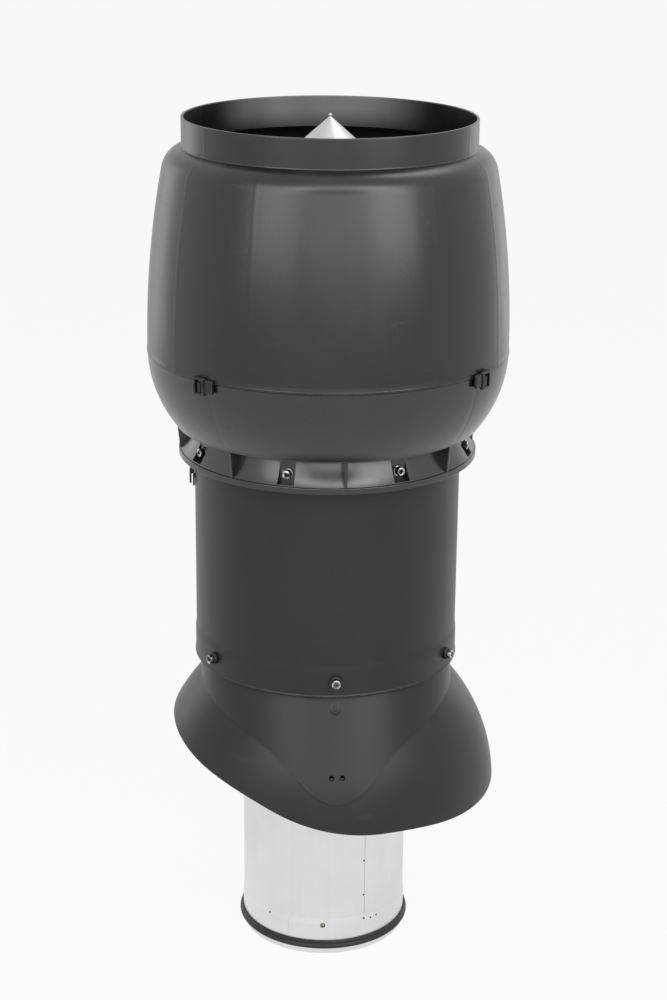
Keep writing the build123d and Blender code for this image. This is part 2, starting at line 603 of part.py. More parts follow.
# Cable hook below the drip ring
hook_low = PIPE_R + GAP
HOOK_WIDTH = 11.0
HOOK_PLATE = 2.4
HOOK_GAP = 1.4
hook_middle = hook_low + HOOK_PLATE + HOOK_GAP
hook = block(HOOK_WIDTH, hook_low, hook_low + HOOK_PLATE, HOOK_BOTTOM, HOOK_TOP)
hook = hook + block(HOOK_WIDTH, hook_middle, hook_middle + HOOK_PLATE, HOOK_BOTTOM + 3, HOOK_TOP - 5)
hook = hook + block(HOOK_WIDTH, hook_low + 1, hook_middle + 1, HOOK_TOP - 11, HOOK_TOP - 5)
hook = hook + peg(HOOK_PEG_R, PIPE_IN + 0.2, hook_low + 1, HOOK_PEG_Z)
save("cable_hook", turn(hook, HOOK_AZ))

# Upper hood: barrel side, rounded shoulder and upright lip
SIDE_ARC = 1100.0
SHOULDER_R = 30.0
SIDE_TANGENT_Z = SEAM_Z + 6.5
side_centre = (HOOD_R - SIDE_ARC, SIDE_TANGENT_Z)
shoulder_z = SHOULDER_TOP - SHOULDER_R
reach = SIDE_ARC - SHOULDER_R
shoulder_centre = (side_centre[0] + sqrt(reach ** 2 - (shoulder_z - SIDE_TANGENT_Z) ** 2), shoulder_z)
tangent_angle = angle_at(side_centre, shoulder_centre)


def shoulder_end(radius, lip_r):
    return degrees(atan2(sqrt(radius ** 2 - (lip_r - shoulder_centre[0]) ** 2), lip_r - shoulder_centre[0]))


lip_in = MOUTH_R - SHELL
seat_high = SEAM_Z + GAP / 2
hood = spin(*chain(
    (HOOD_R - SHELL, seat_high),
    (HOOD_R + HOOD_BEAD, seat_high),
    (HOOD_R + HOOD_BEAD, seat_high + 2.2),
    arc(side_centre, SIDE_ARC, 0, tangent_angle),
    arc(shoulder_centre, SHOULDER_R, tangent_angle, shoulder_end(SHOULDER_R, MOUTH_R)),
    (MOUTH_R, MOUTH_Z - 1.2),
    (MOUTH_R - 1.0, MOUTH_Z),
    (lip_in + 0.8, MOUTH_Z),
    (lip_in, MOUTH_Z - 1.0),
    arc(shoulder_centre, SHOULDER_R - SHELL, shoulder_end(SHOULDER_R - SHELL, lip_in), tangent_angle),
    arc(side_centre, SIDE_ARC - SHELL, tangent_angle, 0),
))
save("upper_hood", hood)

# Rain cone over the duct, on four struts
CONE_R = 150.0
CONE_RISE = 0.88
CONE_SHEET = 1.2
CONE_TURN_DOWN = 9.0
NIB_R = 3.2
cone_low = CONE_TIP_Z - CONE_RISE * CONE_R
cone_drop = CONE_SHEET * sqrt(1 + CONE_RISE ** 2)
pin_hole = STRUT_RIVET_R + HOLE_PLAY
cone = spin(outline(
    (pin_hole, CONE_TIP_Z - CONE_RISE * pin_hole),
    (CONE_R, cone_low),
    (CONE_R, cone_low - CONE_TURN_DOWN),
    (CONE_R - CONE_SHEET, cone_low - CONE_TURN_DOWN),
    (CONE_R - CONE_SHEET, cone_low + CONE_RISE * CONE_SHEET - cone_drop),
    (pin_hole, CONE_TIP_Z - CONE_RISE * pin_hole - cone_drop),
))
save("rain_cone", cone)
nib_pin = Pos(0, 0, CONE_TIP_Z - 4.0) * Cylinder(STRUT_RIVET_R, 9.0)
nib = Pos(0, 0, CONE_TIP_Z + 1.5) * Sphere(NIB_R)
tail = Pos(0, 0, CONE_TIP_Z - 8.2) * Cylinder(NIB_R, 2.0)
save("cone_rivet", nib_pin + nib + tail)


def under_cone(radius, drop):
    return (radius, CONE_TIP_Z - CONE_RISE * radius - cone_drop - drop)


TAB_GAP = 0.9
TAB_REACH = 24.0
strut_high = strut_low + STRUT_THICK
strut_points = [
    (strut_low, STRUT_BOTTOM),
    (strut_high, STRUT_BOTTOM),
    under_cone(strut_high, TAB_GAP + STRUT_THICK * 1.4),
    under_cone(strut_high + TAB_REACH, TAB_GAP + STRUT_THICK * 1.4),
    under_cone(strut_high + TAB_REACH, TAB_GAP),
    under_cone(strut_low, TAB_GAP),
]
struts = []
strut_rivets = []
for azimuth in STRUT_ANGLES:
    strut = plate_at(strut_points, STRUT_WIDTH, azimuth)
    for height in strut_rivet_heights:
        strut = strut - turn(peg(pin_hole, DUCT_R - 8, DUCT_R + 8, height), azimuth)
        pin = peg(STRUT_RIVET_R, DUCT_R - SHEET - 1.0, strut_high + 1.0, height)
        pin_head = peg(STRUT_RIVET_R * 1.8, strut_high + HOLE_PLAY, strut_high + STRUT_RIVET_R * 0.65, height)
        pin = pin + pin_head
        strut_rivets.append(turn(pin, azimuth))
    struts.append(strut)
save("cone_struts", Compound(children=struts))
save("strut_rivets", Compound(children=strut_rivets))
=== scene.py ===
"""Insulated roof vent outlet: dark hood and pipe, tilting skirt, bright steel duct, on a pale floor.

Lengths in this script are millimetres until a mesh is made, which is in metres. An azimuth is counted
from the front (-Y) to the right (+X).
"""
import math

import bpy
import numpy as np
from mathutils import Matrix


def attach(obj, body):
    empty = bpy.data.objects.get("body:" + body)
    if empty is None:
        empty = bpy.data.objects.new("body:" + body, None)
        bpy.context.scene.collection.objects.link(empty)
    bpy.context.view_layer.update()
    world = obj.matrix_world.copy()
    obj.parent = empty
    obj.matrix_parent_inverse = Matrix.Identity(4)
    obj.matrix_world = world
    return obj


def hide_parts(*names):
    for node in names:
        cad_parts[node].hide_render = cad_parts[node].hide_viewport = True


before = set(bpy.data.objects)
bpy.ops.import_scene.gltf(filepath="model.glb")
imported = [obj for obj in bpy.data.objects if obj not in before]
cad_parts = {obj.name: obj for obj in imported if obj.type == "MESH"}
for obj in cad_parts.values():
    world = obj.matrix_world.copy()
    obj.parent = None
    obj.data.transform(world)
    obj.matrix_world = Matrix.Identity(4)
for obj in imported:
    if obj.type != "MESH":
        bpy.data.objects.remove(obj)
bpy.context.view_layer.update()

MM = 0.001
FIXED = "outlet"
SKIRT = "skirt"

# Sizes that the solids share
DUCT_R = 101.0
SHEET = 0.8
PIPE_R = 157.5
PIPE_IN = 152.6
PIPE_BOTTOM = 371.0
HOOD_R = 211.0
SHELL = 3.0
MOUTH_R = 169.0
BALL_R = 209.5
SEAM_Z = 748.5
NECK_R = 152.2
NECK_IN = 149.2
SLIDE_R = BALL_R + 0.4
NECK_EDGE = math.sqrt(SLIDE_R ** 2 - NECK_R ** 2)
BALL_Z = PIPE_BOTTOM - 30.0 - NECK_EDGE
TILT_DEG = 12.8
TILT_AZ = 61.8
HOUSING_TURN = 2.5
CLIP_HALF = 48.0
CLIP_ANGLES = HOUSING_TURN + np.array([-CLIP_HALF, CLIP_HALF, 180.0 - CLIP_HALF, 180.0 + CLIP_HALF])
BAY_ANGLES = HOUSING_TURN + 22.5 + np.arange(8) * 45.0
RIB_ANGLES = HOUSING_TURN + np.arange(8) * 45.0
NECK_SCREW_ANGLES = np.arange(6) * 60.0

# Steps round the axis, fewer on the hood for its many rows
ROUND_STEPS = 288
HOOD_STEPS = 280


# Outlines and grids

def rounded(corners, steps=5):
    """Outline with rounded corners. Each corner is (x, y, radius), and its arc touches both of its sides:
    it starts at the radius over the tangent of half the corner's angle from the corner.
    Returns the points and, for each, 1 on an arc and 0 elsewhere."""
    corner = np.array([c[:2] for c in corners], float)
    radius = np.array([c[2] for c in corners], float)
    back = np.roll(corner, 1, 0) - corner
    ahead = np.roll(corner, -1, 0) - corner
    back_len = np.linalg.norm(back, axis=1)
    ahead_len = np.linalg.norm(ahead, axis=1)
    back /= back_len[:, None]
    ahead /= ahead_len[:, None]
    half = 0.5 * np.arccos(np.clip((back * ahead).sum(1), -0.9999, 0.9999))
    reach = np.minimum(radius / np.tan(half), 0.45 * np.minimum(back_len, ahead_len))
    points = []
    worn = []
    share = np.linspace(0, 1, steps)[:, None]
    for i in range(len(corner)):
        if radius[i] <= 0 or reach[i] < 1e-4:
            points.append(corner[i:i + 1])
            worn.append(np.zeros(1))
            continue
        start = corner[i] + back[i] * reach[i]
        end = corner[i] + ahead[i] * reach[i]
        middle = back[i] + ahead[i]
        middle /= np.linalg.norm(middle)
        centre = corner[i] + middle * reach[i] / math.cos(half[i])
        angle = math.pi - 2 * half[i]
        arm = (np.sin((1 - share) * angle) * (start - centre) + np.sin(share * angle) * (end - centre))
        points.append(centre + arm / math.sin(angle))
        worn.append(np.ones(steps))
    return np.concatenate(points), np.concatenate(worn)


def steadied(points, worn, near=0.5, longest=1e9, closed=True):
    """Add points close to both ends of each long side, so that smooth shading stays flat along it,
    and split a side that is longer than the given length."""
    out = []
    flag = []
    count = len(points)
    for i in range(count):
        if i == count - 1 and not closed:
            out.append(points[i])
            flag.append(worn[i])
            break
        a = points[i]
        b = points[(i + 1) % count]
        size = np.linalg.norm(b - a)
        shares = [0.0]
        if size > 4 * near:
            shares.append(near / size)
            inner = int(size // longest)
            shares += [(k + 1) / (inner + 1) for k in range(inner)]
            shares.append(1 - near / size)
        for share in shares:
            out.append(a + (b - a) * share)
            flag.append(worn[i] if share == 0 else 0.0)
    return np.array(out), np.array(flag)


def arc(centre, radius, from_deg, to_deg, count):
    """Points of a circular arc: the centre plus the radius times cosine and sine of evenly spaced angles."""
    angle = np.radians(np.linspace(from_deg, to_deg, count))
    return np.stack([centre[0] + radius * np.cos(angle), centre[1] + radius * np.sin(angle)], 1)


def arc_through(first, middle, last, count):
    """Points of the circular arc through three points: its centre is as far from each of them, which is
    two linear equations in the centre."""
    first = np.array(first, float)
    middle = np.array(middle, float)
    last = np.array(last, float)
    sides = np.array([middle - first, last - first])
    centre = np.linalg.solve(2 * sides, [middle @ middle - first @ first, last @ last - first @ first])
    turns = np.degrees(np.arctan2(*(np.array([first, middle, last]) - centre).T[::-1]))
    turns = np.degrees(np.unwrap(np.radians(turns)))
    return arc(centre, np.linalg.norm(first - centre), turns[0], turns[2], count)


def grid_quads(rows, cols, wrap_rows=True, wrap_cols=True):
    """Corner indices of the quads of a grid that is stored row by row."""
    row, col = np.meshgrid(np.arange(rows if wrap_rows else rows - 1),
                           np.arange(cols if wrap_cols else cols - 1), indexing="ij")
    row_up = (row + 1) % rows
    col_up = (col + 1) % cols
    return np.stack([row * cols + col, row * cols + col_up, row_up * cols + col_up, row_up * cols + col],
                    -1).reshape(-1, 4)


def counter_clockwise(points):
    """True where an outline runs counter-clockwise: the sum of the cross products of neighbouring points,
    twice its area, is positive."""
    x, y = points[:, 0], points[:, 1]
    return np.sum(x * np.roll(y, -1) - np.roll(x, -1) * y) > 0


def along_rows(worn, count):
    """One value for each row, repeated along the row."""
    return np.repeat(np.asarray(worn, float)[:, None], count, 1)


def around(radius, height, azimuth):
    """Points at a radius, a height and an azimuth in degrees: x is the sine part, y minus the cosine part."""
    angle = np.radians(azimuth)
    return np.stack(np.broadcast_arrays(radius * np.sin(angle), -radius * np.cos(angle), height), -1)


class Skin:
    """Grid surfaces, gathered into one mesh: points, polygons and the edge mask for wear."""

    def __init__(self):
        self.points = []
        self.polygons = []
        self.worn = []
        self.count = 0

    def add(self, points, polygons, worn=None):
        """Append points and polygons, whose indices move up by the points that are there already."""
        points = np.asarray(points, float).reshape(-1, 3)
        worn = np.zeros(len(points)) if worn is None else np.asarray(worn, float).reshape(-1)
        self.points.append(points)
        self.polygons += [tuple(p) for p in (np.asarray(polygons) + self.count).tolist()]
        self.worn.append(worn)
        self.count += len(points)

    def add_cap(self, ring, worn=0.0):
        """Close an opening with one flat polygon over a ring of points."""
        ring = np.asarray(ring, float)
        self.points.append(ring)
        self.polygons.append(tuple(range(self.count, self.count + len(ring))))
        self.worn.append(np.full(len(ring), worn))
        self.count += len(ring)

    def turned(self, profile, worn, azimuth):
        """A closed outline of radius and height carried round the axis."""
        if not counter_clockwise(profile):
            profile = profile[::-1]
            worn = worn[::-1]
        points = around(profile[:, 0][:, None], profile[:, 1][:, None], azimuth[None, :])
        self.shell(points, along_rows(worn, len(azimuth)))

    def shell(self, points, worn=None):
        """A closed grid: rows run round a closed section, columns run round the axis."""
        self.add(points, grid_quads(*points.shape[:2]), worn)

    def closed_tube(self, points, worn=None):
        """Rings of points from end to end, with a flat polygon over the first and the last."""
        self.add(points, grid_quads(*points.shape[:2], wrap_rows=False), worn)
        self.add_cap(points[0][::-1])
        self.add_cap(points[-1])


def full_turn(count):
    """Even azimuths of one turn: the index times 360 degrees over the count."""
    return np.arange(count) * 360.0 / count


def piece(name, skin, material, node, body=FIXED, sharp_deg=32.0):
    """Put a gathered skin into a mesh that stands for a node of the solids and moves with a body."""
    mesh = bpy.data.meshes.new(name)
    points = np.concatenate(skin.points) * MM
    mesh.from_pydata(points.tolist(), [], skin.polygons)
    mesh.validate()
    mesh.attributes.new("edge_wear", "FLOAT", "POINT").data.foreach_set(
        "value", np.concatenate(skin.worn).astype(np.float32))
    mesh.polygons.foreach_set("use_smooth", np.ones(len(mesh.polygons), bool))
    mesh.set_sharp_from_angle(angle=math.radians(sharp_deg))
    mesh.materials.append(material)
    mesh.update()
    obj = bpy.data.objects.new(name, mesh)
    bpy.context.scene.collection.objects.link(obj)
    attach(obj, body)
    if node:
        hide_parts(node)


# Small solids of revolution and plates, placed on the axis's outside

def placed(points, azimuth, height, radius, side=0.0):
    """Carry points with x to the right, y up and z outwards onto the front of a radius, then round to
    an azimuth: z adds to the radius, x runs along the tangent and y along the height."""
    points = np.asarray(points, float)
    x = points[..., 0] + side
    y = -(radius + points[..., 2])
    z = height + points[..., 1]
    angle = math.radians(azimuth)
    return np.stack([x * math.cos(angle) - y * math.sin(angle),
                     x * math.sin(angle) + y * math.cos(angle), z], -1)


def spun_button(skin, profile, worn, azimuth, height, radius, count=28, side=0.0):
    """A small turned form that points outwards: an open profile of (radius, reach) from its lowest ring
    to its last ring, carried round its own axis, with both ends closed flat."""
    angle = np.radians(full_turn(count))
    ring = np.stack([np.cos(angle), np.sin(angle)], -1)
    local = np.concatenate([profile[:, None, :1] * ring[None], np.repeat(profile[:, None, 1:], count, 1)], -1)
    points = placed(local, azimuth, height, radius, side)
    skin.closed_tube(points, along_rows(worn, count))


def slab(skin, outline, levels, place, worn_levels):
    """A plate whose outline is carried through its thickness: each level is (height, inset), and the
    outline is moved inwards by the inset along the mean of its two side normals."""
    if not counter_clockwise(outline):
        outline = outline[::-1]
    ahead = np.roll(outline, -1, 0) - outline
    ahead /= np.linalg.norm(ahead, axis=1)[:, None]
    normal = np.stack([-ahead[:, 1], ahead[:, 0]], 1)
    mean = normal + np.roll(normal, 1, 0)
    mean /= np.maximum((mean * normal).sum(1), 0.2)[:, None]
    rings = []
    for height, inset in levels:
        ring = outline + mean * inset
        rings.append(np.concatenate([ring, np.full((len(ring), 1), height)], 1))
    points = place(np.array(rings))
    skin.closed_tube(points, along_rows(worn_levels, len(outline)))


# Wear on the levels of a plate with rounded rims
PLATE_WEAR = [0.3, 0.8, 0.8, 0, 0, 0.8, 0.8, 0.3]


def edge_levels(low, high, radius, steps=4):
    """Levels of a plate with rounded rims: quarter circles at both faces."""
    angle = np.linspace(0, 90, steps)
    drop = radius * (1 - np.sin(np.radians(angle)))
    rise = radius * (1 - np.cos(np.radians(angle)))
    first = [(low + r, d) for r, d in zip(rise, drop)]
    last = [(high - r, d) for r, d in zip(rise[::-1], drop[::-1])]
    return first + last


# Materials

def new_group(name, inputs, outputs):
    """An empty shader group with its named sockets, and its input and output nodes."""
    group = bpy.data.node_groups.new(name, "ShaderNodeTree")
    for label, kind, default in inputs:
        socket = group.interface.new_socket(label, in_out="INPUT", socket_type=kind)
        socket.default_value = default
    for label, kind in outputs:
        group.interface.new_socket(label, in_out="OUTPUT", socket_type=kind)
    return group, group.nodes.new("NodeGroupInput"), group.nodes.new("NodeGroupOutput")


FLOAT = "NodeSocketFloat"


def math_node(tree, operation, a, b=None, clamp=False):
    """One arithmetic step on one or two terms, each a plain number or another node's output."""
    node = tree.nodes.new("ShaderNodeMath")
    node.operation = operation
    node.use_clamp = clamp
    for index, value in enumerate((a, b)):
        if value is None:
            continue
        if isinstance(value, (int, float)):
            node.inputs[index].default_value = value
        else:
            tree.links.new(value, node.inputs[index])
    return node.outputs[0]


def times(tree, a, b, clamp=False):
    """The product of two terms."""
    return math_node(tree, "MULTIPLY", a, b, clamp)


def plus(tree, a, b, clamp=False):
    """The sum of two terms."""
    return math_node(tree, "ADD", a, b, clamp)


def span(tree, value, low, high, to_low=0.0, to_high=1.0):
    """Carry a value from one range to another, with a smooth start and end."""
    node = tree.nodes.new("ShaderNodeMapRange")
    node.interpolation_type = "SMOOTHSTEP"
    tree.links.new(value, node.inputs["Value"])
    for label, number in (("From Min", low), ("From Max", high), ("To Min", to_low), ("To Max", to_high)):
        if isinstance(number, (int, float)):
            node.inputs[label].default_value = number
        else:
            tree.links.new(number, node.inputs[label])
    return node.outputs["Result"]


def noise(tree, vector, scale, detail=3.0, rough=0.55):
    """Cloudy noise from 0 to 1, with so many cells to the metre."""
    node = tree.nodes.new("ShaderNodeTexNoise")
    tree.links.new(vector, node.inputs["Vector"])
    if isinstance(scale, (int, float)):
        node.inputs["Scale"].default_value = scale
    else:
        tree.links.new(scale, node.inputs["Scale"])
    node.inputs["Detail"].default_value = detail
    node.inputs["Roughness"].default_value = rough
    return node.outputs["Fac"]


def object_coordinates(tree, scale=(1, 1, 1)):
    """Places on the piece in metres, each axis times its own scale."""
    coordinates = tree.nodes.new("ShaderNodeTexCoord")
    mapping = tree.nodes.new("ShaderNodeMapping")
    mapping.inputs["Scale"].default_value = scale
    tree.links.new(coordinates.outputs["Object"], mapping.inputs["Vector"])
    return mapping.outputs["Vector"]


def mix_color(tree, share, a, b):
    """Colour a where the share is 0 and b where it is 1."""
    node = tree.nodes.new("ShaderNodeMix")
    node.data_type = "RGBA"
    tree.links.new(share, node.inputs["Factor"])
    for label, value in (("A", a), ("B", b)):
        socket = [s for s in node.inputs if s.name == label and s.type == "RGBA"][0]
        if isinstance(value, tuple):
            socket.default_value = value
        else:
            tree.links.new(value, socket)
    return [s for s in node.outputs if s.type == "RGBA"][0]


def make_edge_wear():
    """Rubbed edges: the edge mask of the mesh, broken up by noise."""
    group, entry, end = new_group("edge_wear", [("Amount", FLOAT, 0.5), ("Break Up", FLOAT, 60.0)],
                                  [("Mask", FLOAT)])
    mask = group.nodes.new("ShaderNodeAttribute")
    mask.attribute_name = "edge_wear"
    broken = noise(group, object_coordinates(group), entry.outputs["Break Up"], 4.0)
    patchy = span(group, broken, 0.38, 0.68)
    worn = times(group, mask.outputs["Fac"], patchy)
    worn = times(group, worn, entry.outputs["Amount"], clamp=True)
    group.links.new(worn, end.inputs["Mask"])
    return group


def make_moulded_grain():
    """Moulded skin: fine pebble height, and a slow patchiness for the gloss."""
    group, entry, end = new_group("moulded_grain", [("Pebble", FLOAT, 900.0), ("Patch", FLOAT, 9.0)],
                                  [("Height", FLOAT), ("Patchiness", FLOAT)])
    pebble = noise(group, object_coordinates(group), entry.outputs["Pebble"], 2.0)
    swell = noise(group, object_coordinates(group), 45.0, 1.0)
    height = plus(group, times(group, pebble, 0.5), swell)
    group.links.new(height, end.inputs["Height"])
    patch = noise(group, object_coordinates(group, (1, 1, 0.45)), entry.outputs["Patch"], 5.0, 0.62)
    group.links.new(span(group, patch, 0.3, 0.72), end.inputs["Patchiness"])
    return group


def make_rub_marks():
    """Handling marks: thin slanted streaks that show only in a few places."""
    group, entry, end = new_group("rub_marks", [("Density", FLOAT, 0.5)], [("Mask", FLOAT)])
    streak = noise(group, object_coordinates(group, (16, 16, 120)), 1.0, 3.0, 0.6)
    slant = noise(group, object_coordinates(group, (26, 26, 60)), 1.0, 4.0, 0.65)
    place = noise(group, object_coordinates(group), 7.0, 2.0)
    thin = math_node(group, "MAXIMUM", span(group, streak, 0.64, 0.76), span(group, slant, 0.66, 0.76))
    here = span(group, place, math_node(group, "SUBTRACT", 0.8, entry.outputs["Density"]), 0.85)
    group.links.new(times(group, thin, here, clamp=True), end.inputs["Mask"])
    return group


def make_settled_dust():
    """Dust that lies on faces that look upwards, more in patches."""
    group, entry, end = new_group("settled_dust", [("Amount", FLOAT, 0.3)], [("Mask", FLOAT)])
    geometry = group.nodes.new("ShaderNodeNewGeometry")
    split = group.nodes.new("ShaderNodeSeparateXYZ")
    group.links.new(geometry.outputs["Normal"], split.inputs[0])
    up = span(group, split.outputs["Z"], 0.35, 1.0)
    cloud = span(group, noise(group, object_coordinates(group), 28.0, 5.0), 0.35, 0.75)
    mask = times(group, times(group, up, cloud), entry.outputs["Amount"], clamp=True)
    group.links.new(mask, end.inputs["Mask"])
    return group


def make_upright_lines():
    """Upright lines at even angles round the axis: the azimuth is divided into equal steps, and the
    distance to the nearest step, times the radius, is compared with the line's width."""
    group, entry, end = new_group("upright_lines",
                                  [("Step Degrees", FLOAT, 45.0), ("Offset Degrees", FLOAT, 0.0),
                                   ("Width", FLOAT, 0.003)], [("Mask", FLOAT)])
    split = group.nodes.new("ShaderNodeSeparateXYZ")
    group.links.new(object_coordinates(group), split.inputs[0])
    x, y = split.outputs["X"], split.outputs["Y"]
    angle = math_node(group, "ARCTAN2", x, times(group, y, -1.0))
    turn = times(group, angle, 180.0 / math.pi)
    turn = math_node(group, "SUBTRACT", turn, entry.outputs["Offset Degrees"])
    ratio = math_node(group, "DIVIDE", turn, entry.outputs["Step Degrees"])
    nearest = math_node(group, "ROUND", ratio)
    away = math_node(group, "ABSOLUTE", math_node(group, "SUBTRACT", ratio, nearest))
    away = times(group, away, entry.outputs["Step Degrees"])
    square = plus(group, times(group, x, x), times(group, y, y))
    radius = math_node(group, "SQRT", square)
    distance = times(group, times(group, away, math.pi / 180.0), radius)
    group.links.new(span(group, distance, 0.0, entry.outputs["Width"], 1.0, 0.0), end.inputs["Mask"])
    return group


def make_inner_painted_light():
    """Painted light: a paler patch on the faces that look in to the axis, above a height and towards the
    back, broken up by cloudy noise, standing in for the light that falls on the inside back wall of the
    hood's mouth.
    """
    group, entry, end = new_group("inner_painted_light", [("Amount", FLOAT, 0.5), ("Low", FLOAT, 0.975)],
                                  [("Mask", FLOAT)])
    place = group.nodes.new("ShaderNodeSeparateXYZ")
    group.links.new(object_coordinates(group), place.inputs[0])
    geometry = group.nodes.new("ShaderNodeNewGeometry")
    facing = group.nodes.new("ShaderNodeSeparateXYZ")
    group.links.new(geometry.outputs["Normal"], facing.inputs[0])
    along_x = times(group, place.outputs["X"], facing.outputs["X"])
    along_y = times(group, place.outputs["Y"], facing.outputs["Y"])
    inward = times(group, plus(group, along_x, along_y), -1.0)
    height = math_node(group, "SUBTRACT", place.outputs["Z"], entry.outputs["Low"])
    painted_light = times(group, span(group, inward, 0.08, 0.14), span(group, height, 0.0, 0.03))
    cloud = span(group, noise(group, object_coordinates(group, (1, 1, 0.4)), 9.0, 2.0), 0.3, 0.65, 0.5, 1.0)
    painted_light = times(group, painted_light, cloud)
    painted_light = times(group, painted_light, span(group, place.outputs["Y"], 0.1, 0.16))
    group.links.new(times(group, painted_light, entry.outputs["Amount"]), end.inputs["Mask"])
    return group


GROUPS = {
    "inner_painted_light": make_inner_painted_light(),
    "edge_wear": make_edge_wear(),
    "moulded_grain": make_moulded_grain(),
    "rub_marks": make_rub_marks(),
    "settled_dust": make_settled_dust(),
    "upright_lines": make_upright_lines(),
}


def use_group(tree, name, **values):
    """Place a shared effect in a material, with this material's own values."""
    node = tree.nodes.new("ShaderNodeGroup")
    node.node_tree = GROUPS[name]
    for label, value in values.items():
        node.inputs[label.replace("_", " ").title()].default_value = value
    return node


def new_material(name, color, roughness, metallic=0.0, specular=0.5):
    """A material with plain values, returned with its nodes and its shader."""
    material = bpy.data.materials.new(name)
    material.use_nodes = True
    tree = material.node_tree
    shader = tree.nodes["Principled BSDF"]
    shader.inputs["Base Color"].default_value = color
    shader.inputs["Roughness"].default_value = roughness
    shader.inputs["Metallic"].default_value = metallic
    shader.inputs["Specular IOR Level"].default_value = specular
    return material, tree, shader


def bump(tree, shader, height, strength, distance):
    """Turn a height that varies over the surface into the shader's normal."""
    node = tree.nodes.new("ShaderNodeBump")
    node.inputs["Strength"].default_value = strength
    node.inputs["Distance"].default_value = distance
    tree.links.new(height, node.inputs["Height"])
    tree.links.new(node.outputs["Normal"], shader.inputs["Normal"])


PLASTIC_IOR = 1.5
DUST_TONE = (0.2, 0.195, 0.19, 1.0)
# The second tone is the colour of the painted light on the inside back wall of the hood's mouth
PAINTED_LIGHT_TONE = (0.2, 0.192, 0.205, 1.0)


def moulded_plastic(name, dark, pale, rough_low, rough_high, wear=0.5, marks=0.45, dust=0.2, lines=None,
                    grain=0.12, specular=0.4, painted_light=0.0):
    """Charcoal plastic: the colour shifts between two tones in slow patches, edges are rubbed paler,
    rub marks are pale and duller, and dust lies on top."""
    material, tree, shader = new_material(name, dark, rough_low, specular=specular)
    shader.inputs["IOR"].default_value = PLASTIC_IOR
    grained = use_group(tree, "moulded_grain")
    worn = use_group(tree, "edge_wear", amount=wear)
    marked = use_group(tree, "rub_marks", density=marks)
    dusty = use_group(tree, "settled_dust", amount=dust)
    color = mix_color(tree, grained.outputs["Patchiness"], dark, pale)
    rubbed = tuple(min(1.0, c * 3.2 + 0.02) for c in pale[:3]) + (1.0,)
    color = mix_color(tree, worn.outputs["Mask"], color, rubbed)
    color = mix_color(tree, times(tree, marked.outputs["Mask"], 0.5), color, rubbed)
    # Painted light: a paler patch on the inside back wall of the mouth, where that wall catches the light
    if painted_light:
        lit_back_wall = use_group(tree, "inner_painted_light", amount=painted_light)
        color = mix_color(tree, lit_back_wall.outputs["Mask"], color, PAINTED_LIGHT_TONE)
    color = mix_color(tree, dusty.outputs["Mask"], color, DUST_TONE)
    height = times(tree, grained.outputs["Height"], grain)
    if lines:
        step, offset, width, proud = lines
        upright = use_group(tree, "upright_lines", step_degrees=step, offset_degrees=offset, width=width)
        height = plus(tree, height, times(tree, upright.outputs["Mask"], proud))
    tree.links.new(color, shader.inputs["Base Color"])
    rough = span(tree, grained.outputs["Patchiness"], 0.0, 1.0, rough_low, rough_high)
    rough = plus(tree, rough, times(tree, marked.outputs["Mask"], 0.16))
    rough = plus(tree, rough, times(tree, dusty.outputs["Mask"], 0.4), clamp=True)
    tree.links.new(rough, shader.inputs["Roughness"])
    bump(tree, shader, height, 0.5, 0.0006)
    return material


def zinc_sheet(name, bright, dull, rough_low, rough_high, spangle=55.0):
    """Galvanised sheet: soft grey patches over faint crystals and faint upright drawing lines."""
    material, tree, shader = new_material(name, bright, rough_low, metallic=1.0)
    cells = tree.nodes.new("ShaderNodeTexVoronoi")
    cells.inputs["Scale"].default_value = spangle
    cells.inputs["Randomness"].default_value = 1.0
    tree.links.new(object_coordinates(tree, (1, 1, 0.8)), cells.inputs["Vector"])
    tone = tree.nodes.new("ShaderNodeSeparateColor")
    tree.links.new(cells.outputs["Color"], tone.inputs[0])
    streak = noise(tree, object_coordinates(tree, (160, 160, 2.2)), 1.0, 3.0)
    cloud = noise(tree, object_coordinates(tree), 9.0, 4.0)
    share = times(tree, tone.outputs[0], 0.12)
    share = plus(tree, share, times(tree, span(tree, streak, 0.35, 0.7), 0.12))
    share = plus(tree, share, times(tree, span(tree, cloud, 0.35, 0.8), 0.76), clamp=True)
    worn = use_group(tree, "edge_wear", amount=0.25)
    color = mix_color(tree, share, bright, dull)
    color = mix_color(tree, worn.outputs["Mask"], color, (0.9, 0.9, 0.9, 1.0))
    tree.links.new(color, shader.inputs["Base Color"])
    tree.links.new(span(tree, share, 0.0, 1.0, rough_low, rough_high), shader.inputs["Roughness"])
    height = plus(tree, times(tree, streak, 0.25), times(tree, cloud, 0.6))
    bump(tree, shader, height, 0.12, 0.0005)
    return material


def plated_steel(name, color, rough_low, rough_high):
    """Plated or plain steel: fine turning grain in the gloss, with rubbed bright edges."""
    dull = tuple(c * 0.7 for c in color[:3]) + (1.0,)
    material, tree, shader = new_material(name, color, rough_low, metallic=1.0)
    grain = noise(tree, object_coordinates(tree), 420.0, 3.0)
    cloud = span(tree, noise(tree, object_coordinates(tree), 60.0, 4.0), 0.3, 0.75)
    worn = use_group(tree, "edge_wear", amount=0.9, break_up=200.0)
    tinted = mix_color(tree, cloud, color, dull)
    tree.links.new(mix_color(tree, worn.outputs["Mask"], tinted, (0.8, 0.8, 0.8, 1.0)),
                   shader.inputs["Base Color"])
    tree.links.new(span(tree, cloud, 0.0, 1.0, rough_low, rough_high), shader.inputs["Roughness"])
    bump(tree, shader, grain, 0.2, 0.0002)
    return material


